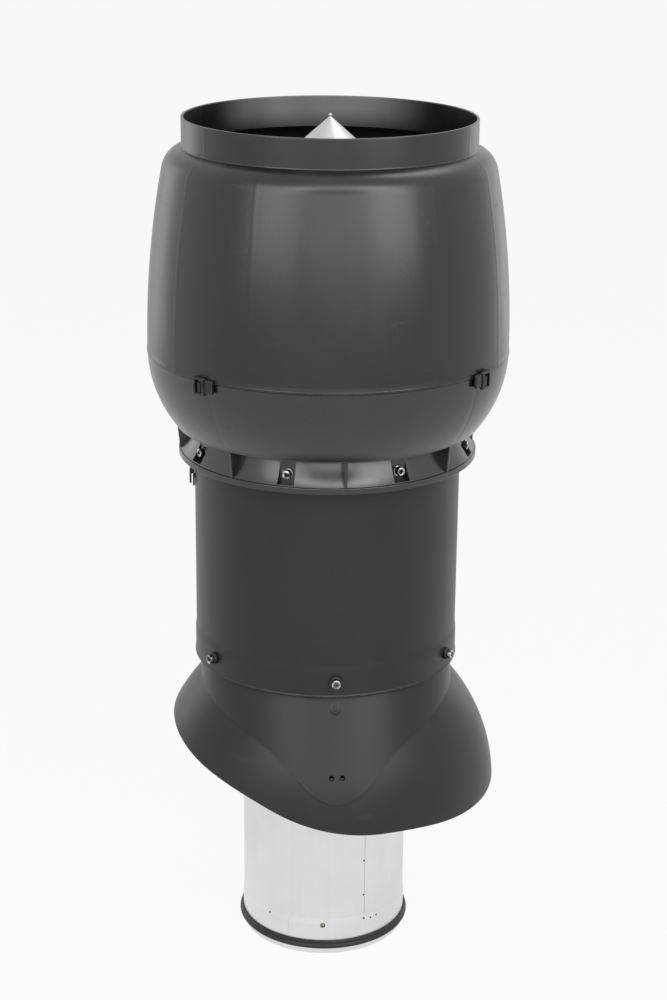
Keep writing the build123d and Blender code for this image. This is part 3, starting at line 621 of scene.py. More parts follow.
def black_rubber(name, color, rough_low, rough_high):
    """Rubber: fine bloom that greys it in patches, with a soft grain."""
    material, tree, shader = new_material(name, color, rough_low, specular=0.4)
    grained = use_group(tree, "moulded_grain", pebble=1500.0, patch=30.0)
    dusty = use_group(tree, "settled_dust", amount=0.15)
    pale = tuple(c * 1.8 for c in color[:3]) + (1.0,)
    bloom = mix_color(tree, grained.outputs["Patchiness"], color, pale)
    tree.links.new(mix_color(tree, dusty.outputs["Mask"], bloom, (0.25, 0.24, 0.22, 1.0)),
                   shader.inputs["Base Color"])
    tree.links.new(span(tree, grained.outputs["Patchiness"], 0.0, 1.0, rough_low, rough_high),
                   shader.inputs["Roughness"])
    bump(tree, shader, grained.outputs["Height"], 0.35, 0.0004)
    return material


def fibre_wool(name, color, brown):
    """Mineral fibre: tangled strands as stretched noise in two directions."""
    material, tree, shader = new_material(name, color, 0.95, specular=0.1)
    strand = noise(tree, object_coordinates(tree, (40, 40, 260)), 1.0, 5.0, 0.7)
    cross = noise(tree, object_coordinates(tree, (240, 240, 40)), 1.0, 5.0, 0.7)
    tangle = math_node(tree, "MAXIMUM", strand, cross)
    tree.links.new(mix_color(tree, span(tree, tangle, 0.4, 0.75), brown, color), shader.inputs["Base Color"])
    bump(tree, shader, tangle, 0.9, 0.003)
    return material


HOOD_DARK = (0.0042, 0.004, 0.0046, 1.0)
HOOD_PALE = (0.007, 0.0067, 0.0075, 1.0)
PIPE_DARK = (0.0185, 0.0178, 0.0185, 1.0)
PIPE_PALE = (0.025, 0.024, 0.0248, 1.0)
SKIRT_DARK = (0.018, 0.0173, 0.018, 1.0)
SKIRT_PALE = (0.024, 0.0231, 0.0239, 1.0)
hood_finish = moulded_plastic("hood_charcoal", HOOD_DARK, HOOD_PALE, 0.27, 0.35, wear=0.3, marks=0.6,
                              dust=0.08, lines=(30.0, 1.5, 0.005, 0.4), grain=0.03, specular=0.58, painted_light=0.8)
housing_finish = moulded_plastic("housing_charcoal", HOOD_DARK, HOOD_PALE, 0.24, 0.31, wear=0.35, marks=0.2,
                                 dust=0.05, lines=(45.0, HOUSING_TURN, 0.006, -0.5), grain=0.03,
                                 specular=0.8)
pipe_finish = moulded_plastic("pipe_charcoal", PIPE_DARK, PIPE_PALE, 0.38, 0.44, wear=0.3, marks=0.4,
                              dust=0.06, grain=0.06, specular=0.32)
skirt_finish = moulded_plastic("skirt_charcoal", SKIRT_DARK, SKIRT_PALE, 0.36, 0.42, wear=0.35, marks=0.3,
                               dust=0.08, grain=0.03, specular=0.32)
black_finish = moulded_plastic("black_moulded", (0.006, 0.006, 0.0065, 1.0), (0.01, 0.01, 0.0105, 1.0),
                               0.2, 0.3, wear=0.9, marks=0.3, dust=0.08, grain=0.06)
duct_finish = zinc_sheet("zinc_duct", (0.75, 0.755, 0.76, 1.0), (0.66, 0.665, 0.675, 1.0), 0.32, 0.44)
cone_finish = zinc_sheet("zinc_cone", (0.58, 0.575, 0.58, 1.0), (0.42, 0.42, 0.425, 1.0), 0.42, 0.55, 80.0)
spring_finish = plated_steel("plain_spring_steel", (0.45, 0.46, 0.48, 1.0), 0.28, 0.42)
black_screw_finish = plated_steel("black_screw", (0.035, 0.035, 0.037, 1.0), 0.16, 0.28)
screw_finish = plated_steel("dark_plated_screw", (0.11, 0.11, 0.113, 1.0), 0.16, 0.3)
rivet_finish = plated_steel("olive_rivet", (0.12, 0.115, 0.08, 1.0), 0.25, 0.4)
bright_finish = plated_steel("bright_plated", (0.6, 0.6, 0.61, 1.0), 0.22, 0.38)
rubber_finish = black_rubber("black_rubber", (0.008, 0.008, 0.0085, 1.0), 0.4, 0.55)
# Painted shade: near-black, non-reflective finish for the discs that stand for the dark inside of the visor's
# holes
hole_shade_finish = new_material("painted_hole_shade", (0.0015, 0.0015, 0.0015, 1.0), 0.9, specular=0.0)[0]
wool_finish = fibre_wool("fibre_wool", (0.62, 0.6, 0.52, 1.0), (0.38, 0.34, 0.26, 1.0))


# Hood

SIDE_ARC = 1100.0
SHOULDER_R = 30.0
SHOULDER_TOP = 985.0
MOUTH_Z = 1018.0
SIDE_TANGENT_Z = SEAM_Z + 6.5
HOOD_BEAD = 0.6


def hood_section():
    """Barrel section: the side is an arc of a large circle that stands upright just over the seam, the
    shoulder a small arc inside it that touches it, and the lip is upright."""
    side = (HOOD_R - SIDE_ARC, SIDE_TANGENT_Z)
    shoulder_z = SHOULDER_TOP - SHOULDER_R
    reach = SIDE_ARC - SHOULDER_R
    shoulder = (side[0] + math.sqrt(reach ** 2 - (shoulder_z - side[1]) ** 2), shoulder_z)
    touch = math.degrees(math.atan2(shoulder[1] - side[1], shoulder[0] - side[0]))

    def lip_angle(radius, lip):
        run = lip - shoulder[0]
        return math.degrees(math.atan2(math.sqrt(radius ** 2 - run ** 2), run))

    lip_in = MOUTH_R - SHELL
    low = SEAM_Z + 0.15
    foot, foot_worn = rounded([
        (HOOD_R - SHELL, low, 0.4),
        (HOOD_R + HOOD_BEAD, low, 0.5),
        (HOOD_R + HOOD_BEAD, low + 2.6, 0.6),
        (HOOD_R, low + 3.6, 0.0),
        (HOOD_R - SHELL, low + 3.6, 0.0),
    ], 4)
    foot, foot_worn = foot[:-2], foot_worn[:-2]
    outer_side = arc(side, SIDE_ARC, 0.05, touch, 60)
    outer_turn = arc(shoulder, SHOULDER_R, touch, lip_angle(SHOULDER_R, MOUTH_R) + 3.0, 30)[1:]
    lip, lip_worn = rounded([
        (MOUTH_R, SHOULDER_TOP - 0.9, 1.4),
        (MOUTH_R, MOUTH_Z, 1.0),
        (lip_in, MOUTH_Z, 1.0),
        (lip_in, SHOULDER_TOP - 3.0, 0.0),
        (MOUTH_R + 9.0, SHOULDER_TOP - 1.5, 0.0),
    ], 5)
    lip, lip_worn = lip[:-2], lip_worn[:-2]
    inner_turn = arc(shoulder, SHOULDER_R - SHELL, lip_angle(SHOULDER_R - SHELL, lip_in), touch, 20)
    inner_side = arc(side, SIDE_ARC - SHELL, touch, 0.05, 30)[1:]
    parts = [foot, outer_side, outer_turn[:-2], lip, inner_turn, inner_side]
    worn = [foot_worn, np.zeros(len(outer_side)), np.zeros(len(outer_turn) - 2), lip_worn,
            np.zeros(len(inner_turn)), np.zeros(len(inner_side))]
    return steadied(np.concatenate(parts), np.concatenate(worn), 0.6)


hood = Skin()
hood.turned(*hood_section(), full_turn(HOOD_STEPS))
piece("upper_hood_skin", hood, hood_finish, "upper_hood")


# Lower housing: bowl, ring with scoops and pockets, and ribs

BOWL_TANGENT_Z = SEAM_Z + 3.5
RIM_BOTTOM = 624.0
RIM_TOP = RIM_BOTTOM + 7.0
BOWL_BOTTOM = RIM_TOP + 31.0
SLEEVE_IN = PIPE_R + 0.4
SLEEVE_OUT = SLEEVE_IN + 3.0
RIM_REACH = 15.1
RIM_R = SLEEVE_OUT + RIM_REACH
BOWL_EDGE_R = RIM_R + 2.5
BOWL_HEIGHT = BOWL_TANGENT_Z - BOWL_BOTTOM
BOWL_INSET = HOOD_R - BOWL_EDGE_R
BOWL_ARC = (BOWL_INSET ** 2 + BOWL_HEIGHT ** 2) / (2 * BOWL_INSET)
SLEEVE_BOTTOM = RIM_BOTTOM - 4.0
SLEEVE_TOP = BOWL_BOTTOM + 27.0
SCOOP_RISE = 29.0
RIB_RISE = 24.0
POCKET_FACE = SLEEVE_OUT + 1.6
POCKET_HALF = 9.5
POCKET_LOW = RIM_TOP + 1.5
POCKET_HIGH = BOWL_BOTTOM - 2.0
RIB_THICK = 3.6
HOUSING_SCREW_Z = RIM_TOP + 12.0


def bowl_middle(height):
    """Radius of the middle of the bowl's wall at a height."""
    reach = BOWL_ARC - SHELL / 2
    return HOOD_R - BOWL_ARC + math.sqrt(reach ** 2 - (height - BOWL_TANGENT_Z) ** 2)


def bowl_section():
    """Bowl section: an arc that stands upright near the seam and runs in to a rounded lower edge, with a
    parallel arc inside and an upright lip that locates the hood."""
    centre = (HOOD_R - BOWL_ARC, BOWL_TANGENT_Z)

    def angle(radius, height):
        return math.degrees(math.asin((height - BOWL_TANGENT_Z) / radius))

    top = SEAM_Z - 0.15
    inner = BOWL_ARC - SHELL
    outer_arc = arc(centre, BOWL_ARC, angle(BOWL_ARC, BOWL_BOTTOM + 1.2), angle(BOWL_ARC, top - 0.5), 70)
    inner_arc = arc(centre, inner, angle(inner, top - 14), angle(inner, BOWL_BOTTOM + 0.6), 40)
    register = HOOD_R - SHELL - 0.4
    seam = np.array([(HOOD_R - 0.05, top - 0.2), (HOOD_R - 0.5, top),
                     (register + 0.3, top), (register, top + 0.3),
                     (register, SEAM_Z + 7.4), (register - 0.6, SEAM_Z + 8), (register - 2.2, SEAM_Z + 8),
                     (register - 2.8, SEAM_Z + 7.4), (register - 2.8, SEAM_Z - 13)])
    edge = inner_arc[-1] * 0.5 + outer_arc[0] * 0.5
    foot = np.array([(inner_arc[-1][0] + 0.7, BOWL_BOTTOM), (edge[0], BOWL_BOTTOM - 0.1),
                     (outer_arc[0][0] - 0.9, BOWL_BOTTOM), (outer_arc[0][0] - 0.25, BOWL_BOTTOM + 0.45)])
    points = np.concatenate([outer_arc, seam, inner_arc, foot])
    worn = np.concatenate([np.zeros(len(outer_arc)), [0.5, 0.5], np.zeros(len(seam) - 2),
                           np.zeros(len(inner_arc)), [0, 0.3, 0.7, 0.7]])
    return steadied(points, worn, 0.6)


def ring_rows():
    """Ring section, going up the outside: sleeve foot, sloping underside, upright rim, then the scoop as
    an arc from the rim in to the sleeve, and back down the inside of the sleeve."""
    foot, foot_worn = rounded([
        (SLEEVE_IN, SLEEVE_BOTTOM, 0.0),
        (SLEEVE_OUT, SLEEVE_BOTTOM, 0.6),
        (SLEEVE_OUT + 4, RIM_BOTTOM, 1.0),
        (RIM_R, RIM_BOTTOM, 0.8),
        (RIM_R, RIM_TOP, 0.9),
        (RIM_R - 1.7, RIM_TOP + 0.4, 0.0),
        (SLEEVE_IN, RIM_TOP + 0.4, 0.0),
    ], 4)
    foot, foot_worn = steadied(foot[:-1], foot_worn[:-1], 0.5, closed=False)
    scoop = arc_through((RIM_R - 2.0, RIM_TOP + 0.41),
                        (SLEEVE_OUT + RIM_REACH * 0.37, RIM_TOP + SCOOP_RISE * 0.42),
                        (SLEEVE_OUT, RIM_TOP + SCOOP_RISE), 26)
    extra = np.array([POCKET_LOW - 0.06, POCKET_LOW + 0.06, POCKET_LOW + 0.5])
    heights = np.unique(np.concatenate([scoop[:, 1], extra]))
    heights = heights[heights < POCKET_HIGH - 0.1]
    scoop = np.stack([np.interp(heights, scoop[:, 1], scoop[:, 0]), heights], 1)
    above = np.array([(SLEEVE_OUT, POCKET_HIGH - 0.06), (SLEEVE_OUT, POCKET_HIGH + 0.06),
                      (SLEEVE_OUT, SLEEVE_TOP), (SLEEVE_IN, SLEEVE_TOP), (SLEEVE_IN, RIM_TOP + 20.0),
                      (SLEEVE_IN, RIM_TOP)])
    points = np.concatenate([foot, scoop, above])
    worn = np.concatenate([foot_worn * 0.7, np.zeros(len(scoop) + len(above))])
    inside = (points[:, 0] < SLEEVE_IN + 0.5) & (np.arange(len(points)) > len(foot))
    return points, worn, inside


def ring_skin(skin):
    """Carry the ring's section round, and press a flat-faced pocket into the scoop in the middle of each
    bay: inside the pocket the radius is the face's distance over the cosine of the angle from its middle."""
    points, worn, inside = ring_rows()
    wall = math.degrees(math.asin(POCKET_HALF / (RIM_R - 8.0)))
    half_bay = np.concatenate([np.linspace(0, wall - 0.35, 5),
                               [wall - 0.12, wall - 0.02, wall + 0.02, wall + 0.14],
                               np.linspace(wall + 0.5, 22.2, 14)])
    bay = np.concatenate([-half_bay[:0:-1], half_bay])
    azimuth = (BAY_ANGLES[:, None] + bay[None, :]).reshape(-1)
    offset = np.tile(bay, len(BAY_ANGLES))
    radius = np.repeat(points[:, :1], len(azimuth), 1)
    height = np.repeat(points[:, 1:], len(azimuth), 1)
    in_pocket = (np.abs(offset)[None, :] < wall) & (height > POCKET_LOW) & (height < POCKET_HIGH)
    in_pocket &= ~inside[:, None]
    flat = POCKET_FACE / np.cos(np.radians(offset))[None, :]
    radius = np.where(in_pocket, flat, radius)
    lip = (np.abs(np.abs(offset) - wall - 0.08) < 0.09)[None, :] & (height > POCKET_LOW)
    lip = lip & (height < RIM_TOP + SCOOP_RISE - 4)
    mask = np.maximum(along_rows(worn, len(azimuth)), lip * 0.9)
    skin.shell(around(radius, height, azimuth[None, :]), mask)


def rib_plates(skin):
    """Upright plates with rounded rims, from the rim up along the bowl's inside."""
    outline, _ = rounded([
        (SLEEVE_OUT - 1.5, RIM_BOTTOM + 1, 0.0),
        (RIM_R - 1.2, RIM_BOTTOM + 1, 0.6),
        (RIM_R - 1.2, RIM_TOP, 2.0),
        (BOWL_EDGE_R - 0.4, BOWL_BOTTOM + 0.5, 0.0),
        (bowl_middle(BOWL_BOTTOM + RIB_RISE * 0.67), BOWL_BOTTOM + RIB_RISE * 0.67, 0.0),
        (bowl_middle(BOWL_BOTTOM + RIB_RISE), BOWL_BOTTOM + RIB_RISE, 0.0),
        (SLEEVE_OUT + RIB_RISE * 0.58, BOWL_BOTTOM + RIB_RISE, 0.0),
        (SLEEVE_OUT - 1.5, BOWL_BOTTOM + RIB_RISE * 0.58, 0.0),
    ], 4)
    levels = edge_levels(-RIB_THICK / 2, RIB_THICK / 2, 0.6)
    for azimuth in RIB_ANGLES:
        turn = math.radians(azimuth)

        def place(p):
            return np.stack([p[..., 0] * math.sin(turn) - p[..., 2] * math.cos(turn),
                             -p[..., 0] * math.cos(turn) - p[..., 2] * math.sin(turn), p[..., 1]], -1)

        slab(skin, outline, levels, place, PLATE_WEAR)


housing = Skin()
housing.turned(*bowl_section(), full_turn(ROUND_STEPS))
ring_skin(housing)
rib_plates(housing)
piece("lower_housing_skin", housing, housing_finish, "lower_housing")


# Seam clips: a framed catch with a stop block beside it

CLIP_WIDTH = 16.0
CLIP_BELOW = 14.5
CLIP_ABOVE = 6.5
BLOCK_WIDTH = 12.0
BLOCK_BELOW = 10.5
BLOCK_ABOVE = 4.5
TONGUE_WIDTH = 5.0
CLIP_BACK = HOOD_R + HOOD_BEAD + 0.5
STOP_SHIFT = (CLIP_WIDTH + BLOCK_WIDTH) / 2 - 0.5


def rounded_panel(width, low, high, radius):
    """A rectangle about the upright axis, with its corners rounded."""
    return rounded([(-width / 2, low, radius), (width / 2, low, radius), (width / 2, high, radius),
                    (-width / 2, high, radius)], 4)[0]


def clip_pieces(skin):
    """Catch with a raised frame, its tongue, the stop block beside it and the peg behind."""
    frame_outline = rounded_panel(CLIP_WIDTH, -CLIP_BELOW, CLIP_ABOVE, 1.8)
    frame_levels = [(0.0, 0.3), (0.3, 0.0), (4.2, 0.0), (4.8, 0.25), (5.0, 0.8),
                    (5.0, 2.6), (4.7, 3.1), (2.0, 3.3)]
    tongue_outline = rounded_panel(TONGUE_WIDTH, 3.0 - CLIP_BELOW, CLIP_ABOVE - 6.0, 1.2)
    tongue_levels = [(1.8, 0.0), (3.2, 0.0), (3.7, 0.35), (3.9, 1.0)]
    block_outline = rounded_panel(BLOCK_WIDTH, -BLOCK_BELOW, BLOCK_ABOVE, 1.0)
    block_levels = [(0.0, 0.2), (0.2, 0.0), (2.9, 0.0), (3.4, 0.25), (3.6, 0.8)]
    peg = np.array([(2.0, -8.0), (2.0, 0.2)])
    for azimuth, side in zip(CLIP_ANGLES, (1, -1, 1, -1)):
        def at_clip(p):
            return placed(p, azimuth, SEAM_Z, CLIP_BACK)

        def beside_clip(p):
            return placed(p, azimuth, SEAM_Z, CLIP_BACK, side * STOP_SHIFT)

        slab(skin, frame_outline, frame_levels, at_clip, [0, 0, 0, 0.9, 0.9, 0.6, 0, 0])
        slab(skin, tongue_outline, tongue_levels, at_clip, [0, 0, 0.9, 0.5])
        slab(skin, block_outline, block_levels, beside_clip, [0, 0, 0, 0.9, 0.6])
        spun_button(skin, peg, np.zeros(2), azimuth, SEAM_Z - 9.0, CLIP_BACK, 16)


clips = Skin()
clip_pieces(clips)
piece("hood_clip_skins", clips, black_finish, "hood_clips")


# Pipe

BAND_TOP = PIPE_BOTTOM + 40.0
BAND_FADE = 9.0
PIPE_TOP = RIM_TOP + 24.0
pipe_points, pipe_worn = rounded([
    (PIPE_IN, PIPE_BOTTOM, 0.4),
    (PIPE_R + 1.0, PIPE_BOTTOM, 0.0),
    (PIPE_R + 1.7, PIPE_BOTTOM + 0.8, 0.5),
    (PIPE_R + 1.7, PIPE_BOTTOM + 2.0, 0.5),
    (PIPE_R + 1.0, PIPE_BOTTOM + 3.0, 0.3),
    (PIPE_R + 1.0, BAND_TOP - BAND_FADE, 40.0),
    (PIPE_R, BAND_TOP, 40.0),
    (PIPE_R, PIPE_TOP, 0.8),
    (PIPE_IN, PIPE_TOP, 0.8),
], 4)
pipe_worn = pipe_worn * (pipe_points[:, 1] < PIPE_BOTTOM + 10)
pipe = Skin()
pipe.turned(*steadied(pipe_points, pipe_worn, 0.6, 60.0), full_turn(ROUND_STEPS))
piece("outer_pipe_skin", pipe, pipe_finish, "outer_pipe")


# Neck with its visor

COLLAR_TOP = PIPE_BOTTOM + 41.0 - BALL_Z
VISOR_THICK = 3.2
VISOR_R = SLIDE_R + VISOR_THICK
VISOR_START = PIPE_BOTTOM - BALL_Z
VISOR_LEAN = math.atan2(VISOR_START, NECK_R) - math.acos(VISOR_R / math.hypot(VISOR_START, NECK_R))
VISOR_TOUCH = VISOR_R * math.sin(VISOR_LEAN)
VISOR_TIP = NECK_EDGE - 99.8
VISOR_SLOPE = 0.88
VISOR_KNEE_X = 81.0
BROW_SLOPE = 0.39
VISOR_TIP_R = 44.0
VISOR_KNEE_R = 90.0
HOLE_R = 2.7
HOLE_X = 6.2
HOLE_Z = NECK_EDGE - 56.0
HOLE_SUNK = 2.9
BOSS_Z = NECK_EDGE + 16.5
BOSS_R = 8.2
BOSS_FLANK = 5.0
BOSS_RISE = 1.5
PIP_R = 2.6
PIP_FLANK = 1.6
PIP_RISE = 1.2


def visor_edge(x):
    """Height of the visor's lower edge over a distance sideways: two straight slopes that meet at the tip,
    rounded by an arc there, then flatter brows to the neck's sides, with an arc at each knee between them.
    Each arc's centre is its radius away from both of its lines."""
    x = np.abs(x)
    steep = math.atan(VISOR_SLOPE)
    flat = math.atan(BROW_SLOPE)
    tip_x = VISOR_TIP_R * math.sin(steep)
    tip_centre = VISOR_TIP + VISOR_TIP_R / math.cos(steep)
    tip = tip_centre - np.sqrt(np.maximum(VISOR_TIP_R ** 2 - x ** 2, 0))
    slope = VISOR_TIP + VISOR_SLOPE * x
    brow = VISOR_TIP + VISOR_SLOPE * VISOR_KNEE_X + BROW_SLOPE * (x - VISOR_KNEE_X)
    shift = VISOR_KNEE_R * (1 / math.cos(steep) - 1 / math.cos(flat)) / (VISOR_SLOPE - BROW_SLOPE)
    knee_x = VISOR_KNEE_X + shift
    knee_z = VISOR_TIP + VISOR_SLOPE * knee_x - VISOR_KNEE_R / math.cos(steep)
    knee = knee_z + np.sqrt(np.maximum(VISOR_KNEE_R ** 2 - (x - knee_x) ** 2, 0))
    start_x = knee_x - VISOR_KNEE_R * math.sin(steep)
    end_x = knee_x - VISOR_KNEE_R * math.sin(flat)
    return np.where(x < tip_x, tip, np.where(x < start_x, slope, np.where(x < end_x, knee, brow)))


def neck_radius(height, azimuth):
    """Outside radius of the neck: the upright collar, and in front of it a leaning cylinder that starts at
    the pipe's lower edge and touches the ball, then the ball below that."""
    angle = np.radians(azimuth)
    shift = np.maximum(VISOR_START - height, 0) * math.tan(VISOR_LEAN)
    leaning = shift * np.cos(angle) + np.sqrt(np.maximum(NECK_R ** 2 - (shift * np.sin(angle)) ** 2, 0))
    ball = np.sqrt(np.maximum(VISOR_R ** 2 - height ** 2, 0))
    radius = np.where(np.cos(angle) > 0, np.maximum(leaning, NECK_R), NECK_R)
    return np.where(height < VISOR_TOUCH, np.minimum(radius, ball), radius)


def neck_lower_end(azimuth):
    """Height of the lower edge at each azimuth, found by halving: the lowest height that still lies above
    the visor's edge and outside the ball."""
    low = np.full(azimuth.shape, 20.0)
    high = np.full(azimuth.shape, COLLAR_TOP - 20)
    front = np.cos(np.radians(azimuth)) > 0
    for _ in range(40):
        middle = (low + high) / 2
        radius = neck_radius(middle, azimuth)
        above = middle > np.where(front, visor_edge(radius * np.sin(np.radians(azimuth))), NECK_EDGE + 1.0)
        outside = radius ** 2 + middle ** 2 > (SLIDE_R + 0.6) ** 2
        good = above & outside
        high = np.where(good, middle, high)
        low = np.where(good, low, middle)
    return high


def neck_skin():
    """Neck as a closed grid: rows go down the outside to the lower edge, round it and up the inside, with
    finer rows and columns at the boss, which stands out, and at the two holes, which are sunk."""
    stations = np.concatenate([np.linspace(-180, 178, 180), np.linspace(-3.6, 3.6, 45)])
    azimuth = np.unique(np.round(stations, 4))
    end = neck_lower_end(azimuth)
    front_end = end[np.argmin(np.abs(azimuth))]

    def share_of(height):
        return (COLLAR_TOP - height) / (COLLAR_TOP - front_end)

    finer = [np.linspace(share_of(HOLE_Z + 4.4), share_of(HOLE_Z - 4.4), 24),
             np.linspace(share_of(BOSS_Z + 10), share_of(BOSS_Z - 10), 34)]
    shares = np.unique(np.concatenate([np.linspace(0.004, 0.985, 76), [0.992, 0.997]] + finer))
    height = COLLAR_TOP - shares[:, None] * (COLLAR_TOP - end[None, :])
    radius = neck_radius(height, azimuth[None, :])
    side = radius * np.sin(np.radians(azimuth))[None, :]
    front = np.cos(np.radians(azimuth))[None, :] > 0.9
    from_boss = np.hypot(side, height - BOSS_Z)
    ramp = np.clip((BOSS_R - from_boss) / BOSS_FLANK, 0, 1)
    pip = np.clip((PIP_R - from_boss) / PIP_FLANK, 0, 1)
    boss = front * (BOSS_RISE * ramp * ramp * (3 - 2 * ramp) + PIP_RISE * pip * pip * (3 - 2 * pip))
    away = np.minimum(np.hypot(side - HOLE_X, height - HOLE_Z), np.hypot(side + HOLE_X, height - HOLE_Z))
    sunk = front * np.clip((HOLE_R + 0.25 - away) / 0.5, 0, 1) * HOLE_SUNK
    outer_radius = radius + boss - sunk
    out = np.stack([outer_radius, height], -1)
    last_r = neck_radius(end, azimuth)
    ball_r = np.sqrt(np.maximum(SLIDE_R ** 2 - np.minimum(end, SLIDE_R) ** 2, 0))
    in_r = np.maximum(np.minimum(ball_r, last_r - 0.4), NECK_IN)
    in_r = np.where(ball_r > last_r - 0.4, last_r - 2.6, in_r)
    edge = np.stack([np.stack([last_r - 0.25, end + 0.02], -1), np.stack([last_r - 0.8, end - 0.25], -1),
                     np.stack([in_r + 0.5, end - 0.15], -1), np.stack([in_r, end + 0.35], -1)], 0)
    back_share = np.linspace(0, 1, 40)[:, None]
    inner_h = end[None, :] + 0.8 + back_share * (COLLAR_TOP - end[None, :] - 0.8)
    inner_ball = np.sqrt(np.maximum(SLIDE_R ** 2 - np.minimum(inner_h, SLIDE_R - 1) ** 2, 0))
    inner_r = np.clip(inner_ball, NECK_IN, np.maximum(in_r, NECK_IN)[None, :])
    inner = np.stack([inner_r, inner_h], -1)
    section = np.concatenate([out, edge, inner], 0)
    worn = np.zeros(section.shape[:2])
    first = len(shares)
    worn[first - 2:first + 2] = 0.5
    # Painted highlight: the pip is painted pale through the wear mask
    worn[:first] = np.maximum(worn[:first], pip * front * 0.7)
    points = around(section[..., 0], section[..., 1] + BALL_Z, azimuth[None, :])
    skin = Skin()
    skin.shell(points[::-1], worn[::-1])
    return skin


piece("neck_skin", neck_skin(), skirt_finish, "neck_collar", sharp_deg=38.0)

# Painted shade: near-black discs sunk in the two holes, standing in for the dark seen through them
hole_shade_discs = Skin()
hole_depth_r = float(neck_radius(np.array(HOLE_Z), np.array(0.0))) - 2.5
hole_profile = np.array([(HOLE_R - 0.1, -0.2), (HOLE_R - 0.1, 0.0)])
for side in (-1, 1):
    hole_azimuth = math.degrees(math.asin(side * HOLE_X / hole_depth_r))
    spun_button(hole_shade_discs, hole_profile, np.zeros(2), hole_azimuth, HOLE_Z + BALL_Z, hole_depth_r, 20)
piece("visor_hole_shade_discs", hole_shade_discs, hole_shade_finish, None)


# Skirt dome

RIM_OFFSET = 55.7
LOBE_DROP = 10.2
LOBE_HALF = 133.0
LOBE_X = -17.0
LOBE_R = (LOBE_HALF ** 2 + LOBE_DROP ** 2) / (4 * LOBE_DROP)
DOME_IN = BALL_R - SHELL
DUCT_HOLE_R = DUCT_R + 2.3
DUCT_HOLE_NEAR = -3.6
DOME_LIP = 1.2


def lobe_hang(x):
    """How far the lobe hangs below the rim plane: an arc in the middle half, and an arc bent the other way
    at each end that touches the plane."""
    away = np.minimum(np.abs(x - LOBE_X), LOBE_HALF)
    middle = LOBE_DROP - LOBE_R + np.sqrt(LOBE_R ** 2 - np.minimum(away, LOBE_HALF / 2) ** 2)
    end = LOBE_R - np.sqrt(LOBE_R ** 2 - (LOBE_HALF - away) ** 2)
    return np.where(away < LOBE_HALF / 2, middle, end)


def dome_skin():
    """Ball shell between the hole round the duct and the rim. A point is the ball's centre plus the radius
    times a direction, given by a polar angle from the tilted axis and a turn round it. The rim's polar
    angle follows the rim plane, with a shallow arc hanging lower at the front."""
    tilt = math.radians(TILT_DEG)
    lean = math.radians(TILT_AZ)
    up = np.array([math.sin(lean) * math.sin(tilt), -math.cos(lean) * math.sin(tilt), math.cos(tilt)])
    right = np.array([math.cos(tilt), 0, -up[0]])
    right = right - up * right.dot(up)
    right /= np.linalg.norm(right)
    ahead = np.cross(up, right)
    turn = np.radians(full_turn(ROUND_STEPS))
    flat = np.cos(turn)[:, None] * right + np.sin(turn)[:, None] * ahead

    def spot(polar, radius):
        return radius * (np.cos(polar)[..., None] * up + np.sin(polar)[..., None] * flat)

    def halve(inside, low, high):
        low = np.full(turn.shape, low)
        high = np.full(turn.shape, high)
        for _ in range(40):
            middle = (low + high) / 2
            good = inside(spot(middle, BALL_R))
            low = np.where(good, middle, low)
            high = np.where(good, high, middle)
        return low

    def above_rim(p):
        x, y, z = p @ right, p @ ahead, p @ up - RIM_OFFSET
        return z > np.where(y < 0, -lobe_hang(x), 0.0)

    far = math.sqrt(DOME_IN ** 2 - DUCT_HOLE_R ** 2) * math.sin(tilt)
    along = np.array([math.sin(lean), -math.cos(lean), 0])
    across = np.array([math.cos(lean), math.sin(lean), 0])

    def in_hole(p):
        run = p @ along
        middle = np.clip(run, DUCT_HOLE_NEAR, far)
        return (run - middle) ** 2 + (p @ across) ** 2 < DUCT_HOLE_R ** 2

    hole = halve(in_hole, 0.0, 1.2)
    rim = halve(above_rim, 0.9, 1.75)
    share = np.linspace(0, 1, 90)[:, None]
    lip = DOME_LIP / BALL_R
    outer = hole + lip + share * (rim - hole - 2 * lip)
    share_in = np.linspace(1, 0, 50)[:, None]
    inner = hole + lip + share_in * (rim - hole - 2 * lip)
    rows = [spot(outer, BALL_R)]
    for radius, polar in ((BALL_R - 0.1, rim - lip * 0.45), (BALL_R - 0.5, rim - lip * 0.1),
                          (BALL_R - SHELL / 2, rim), (DOME_IN + 0.5, rim - lip * 0.1),
                          (DOME_IN + 0.1, rim - lip * 0.45)):
        rows.append(spot(polar, radius)[None])
    rows.append(spot(inner, DOME_IN))
    for radius, polar in ((DOME_IN + 0.5, hole + lip * 0.1), (BALL_R - SHELL / 2, hole),
                          (BALL_R - 0.5, hole + lip * 0.1)):
        rows.append(spot(polar, radius)[None])
    points = np.concatenate(rows) + np.array([0, 0, BALL_Z])
    worn = np.zeros(points.shape[:2])
    rim_row = len(outer) - 1
    worn[rim_row:rim_row + 4] = 0.8
    skin = Skin()
    skin.shell(points[::-1], worn[::-1])
    return skin


piece("skirt_dome_skin", dome_skin(), skirt_finish, "skirt_dome", SKIRT)


# Duct, coupling and gasket

DUCT_LOW = 12.0
COUPLING_TOP = 48.0
DUCT_TOP = 770.0
LAP_AZ = 25.4
LAP_FADE = 7.0
LAP_PROUD = 0.7
JOINT_PROUD = 0.45
JOINT_AZ = -29.3
COUPLING_IN = DUCT_R + 0.2
COUPLING_OUT = COUPLING_IN + SHEET * 0.75


def sheet_turn(*edges):
    """Azimuths round the axis, finer at the edges of a lap."""
    step = [edge + d for edge in edges for d in (-0.12, -0.02, 0.02, 0.12)]
    even = full_turn(200) - 180.0
    even = even[np.min(np.abs(even[:, None] - np.array(step)[None, :]), 1) > 0.3]
    return np.sort(np.concatenate([even, step]))


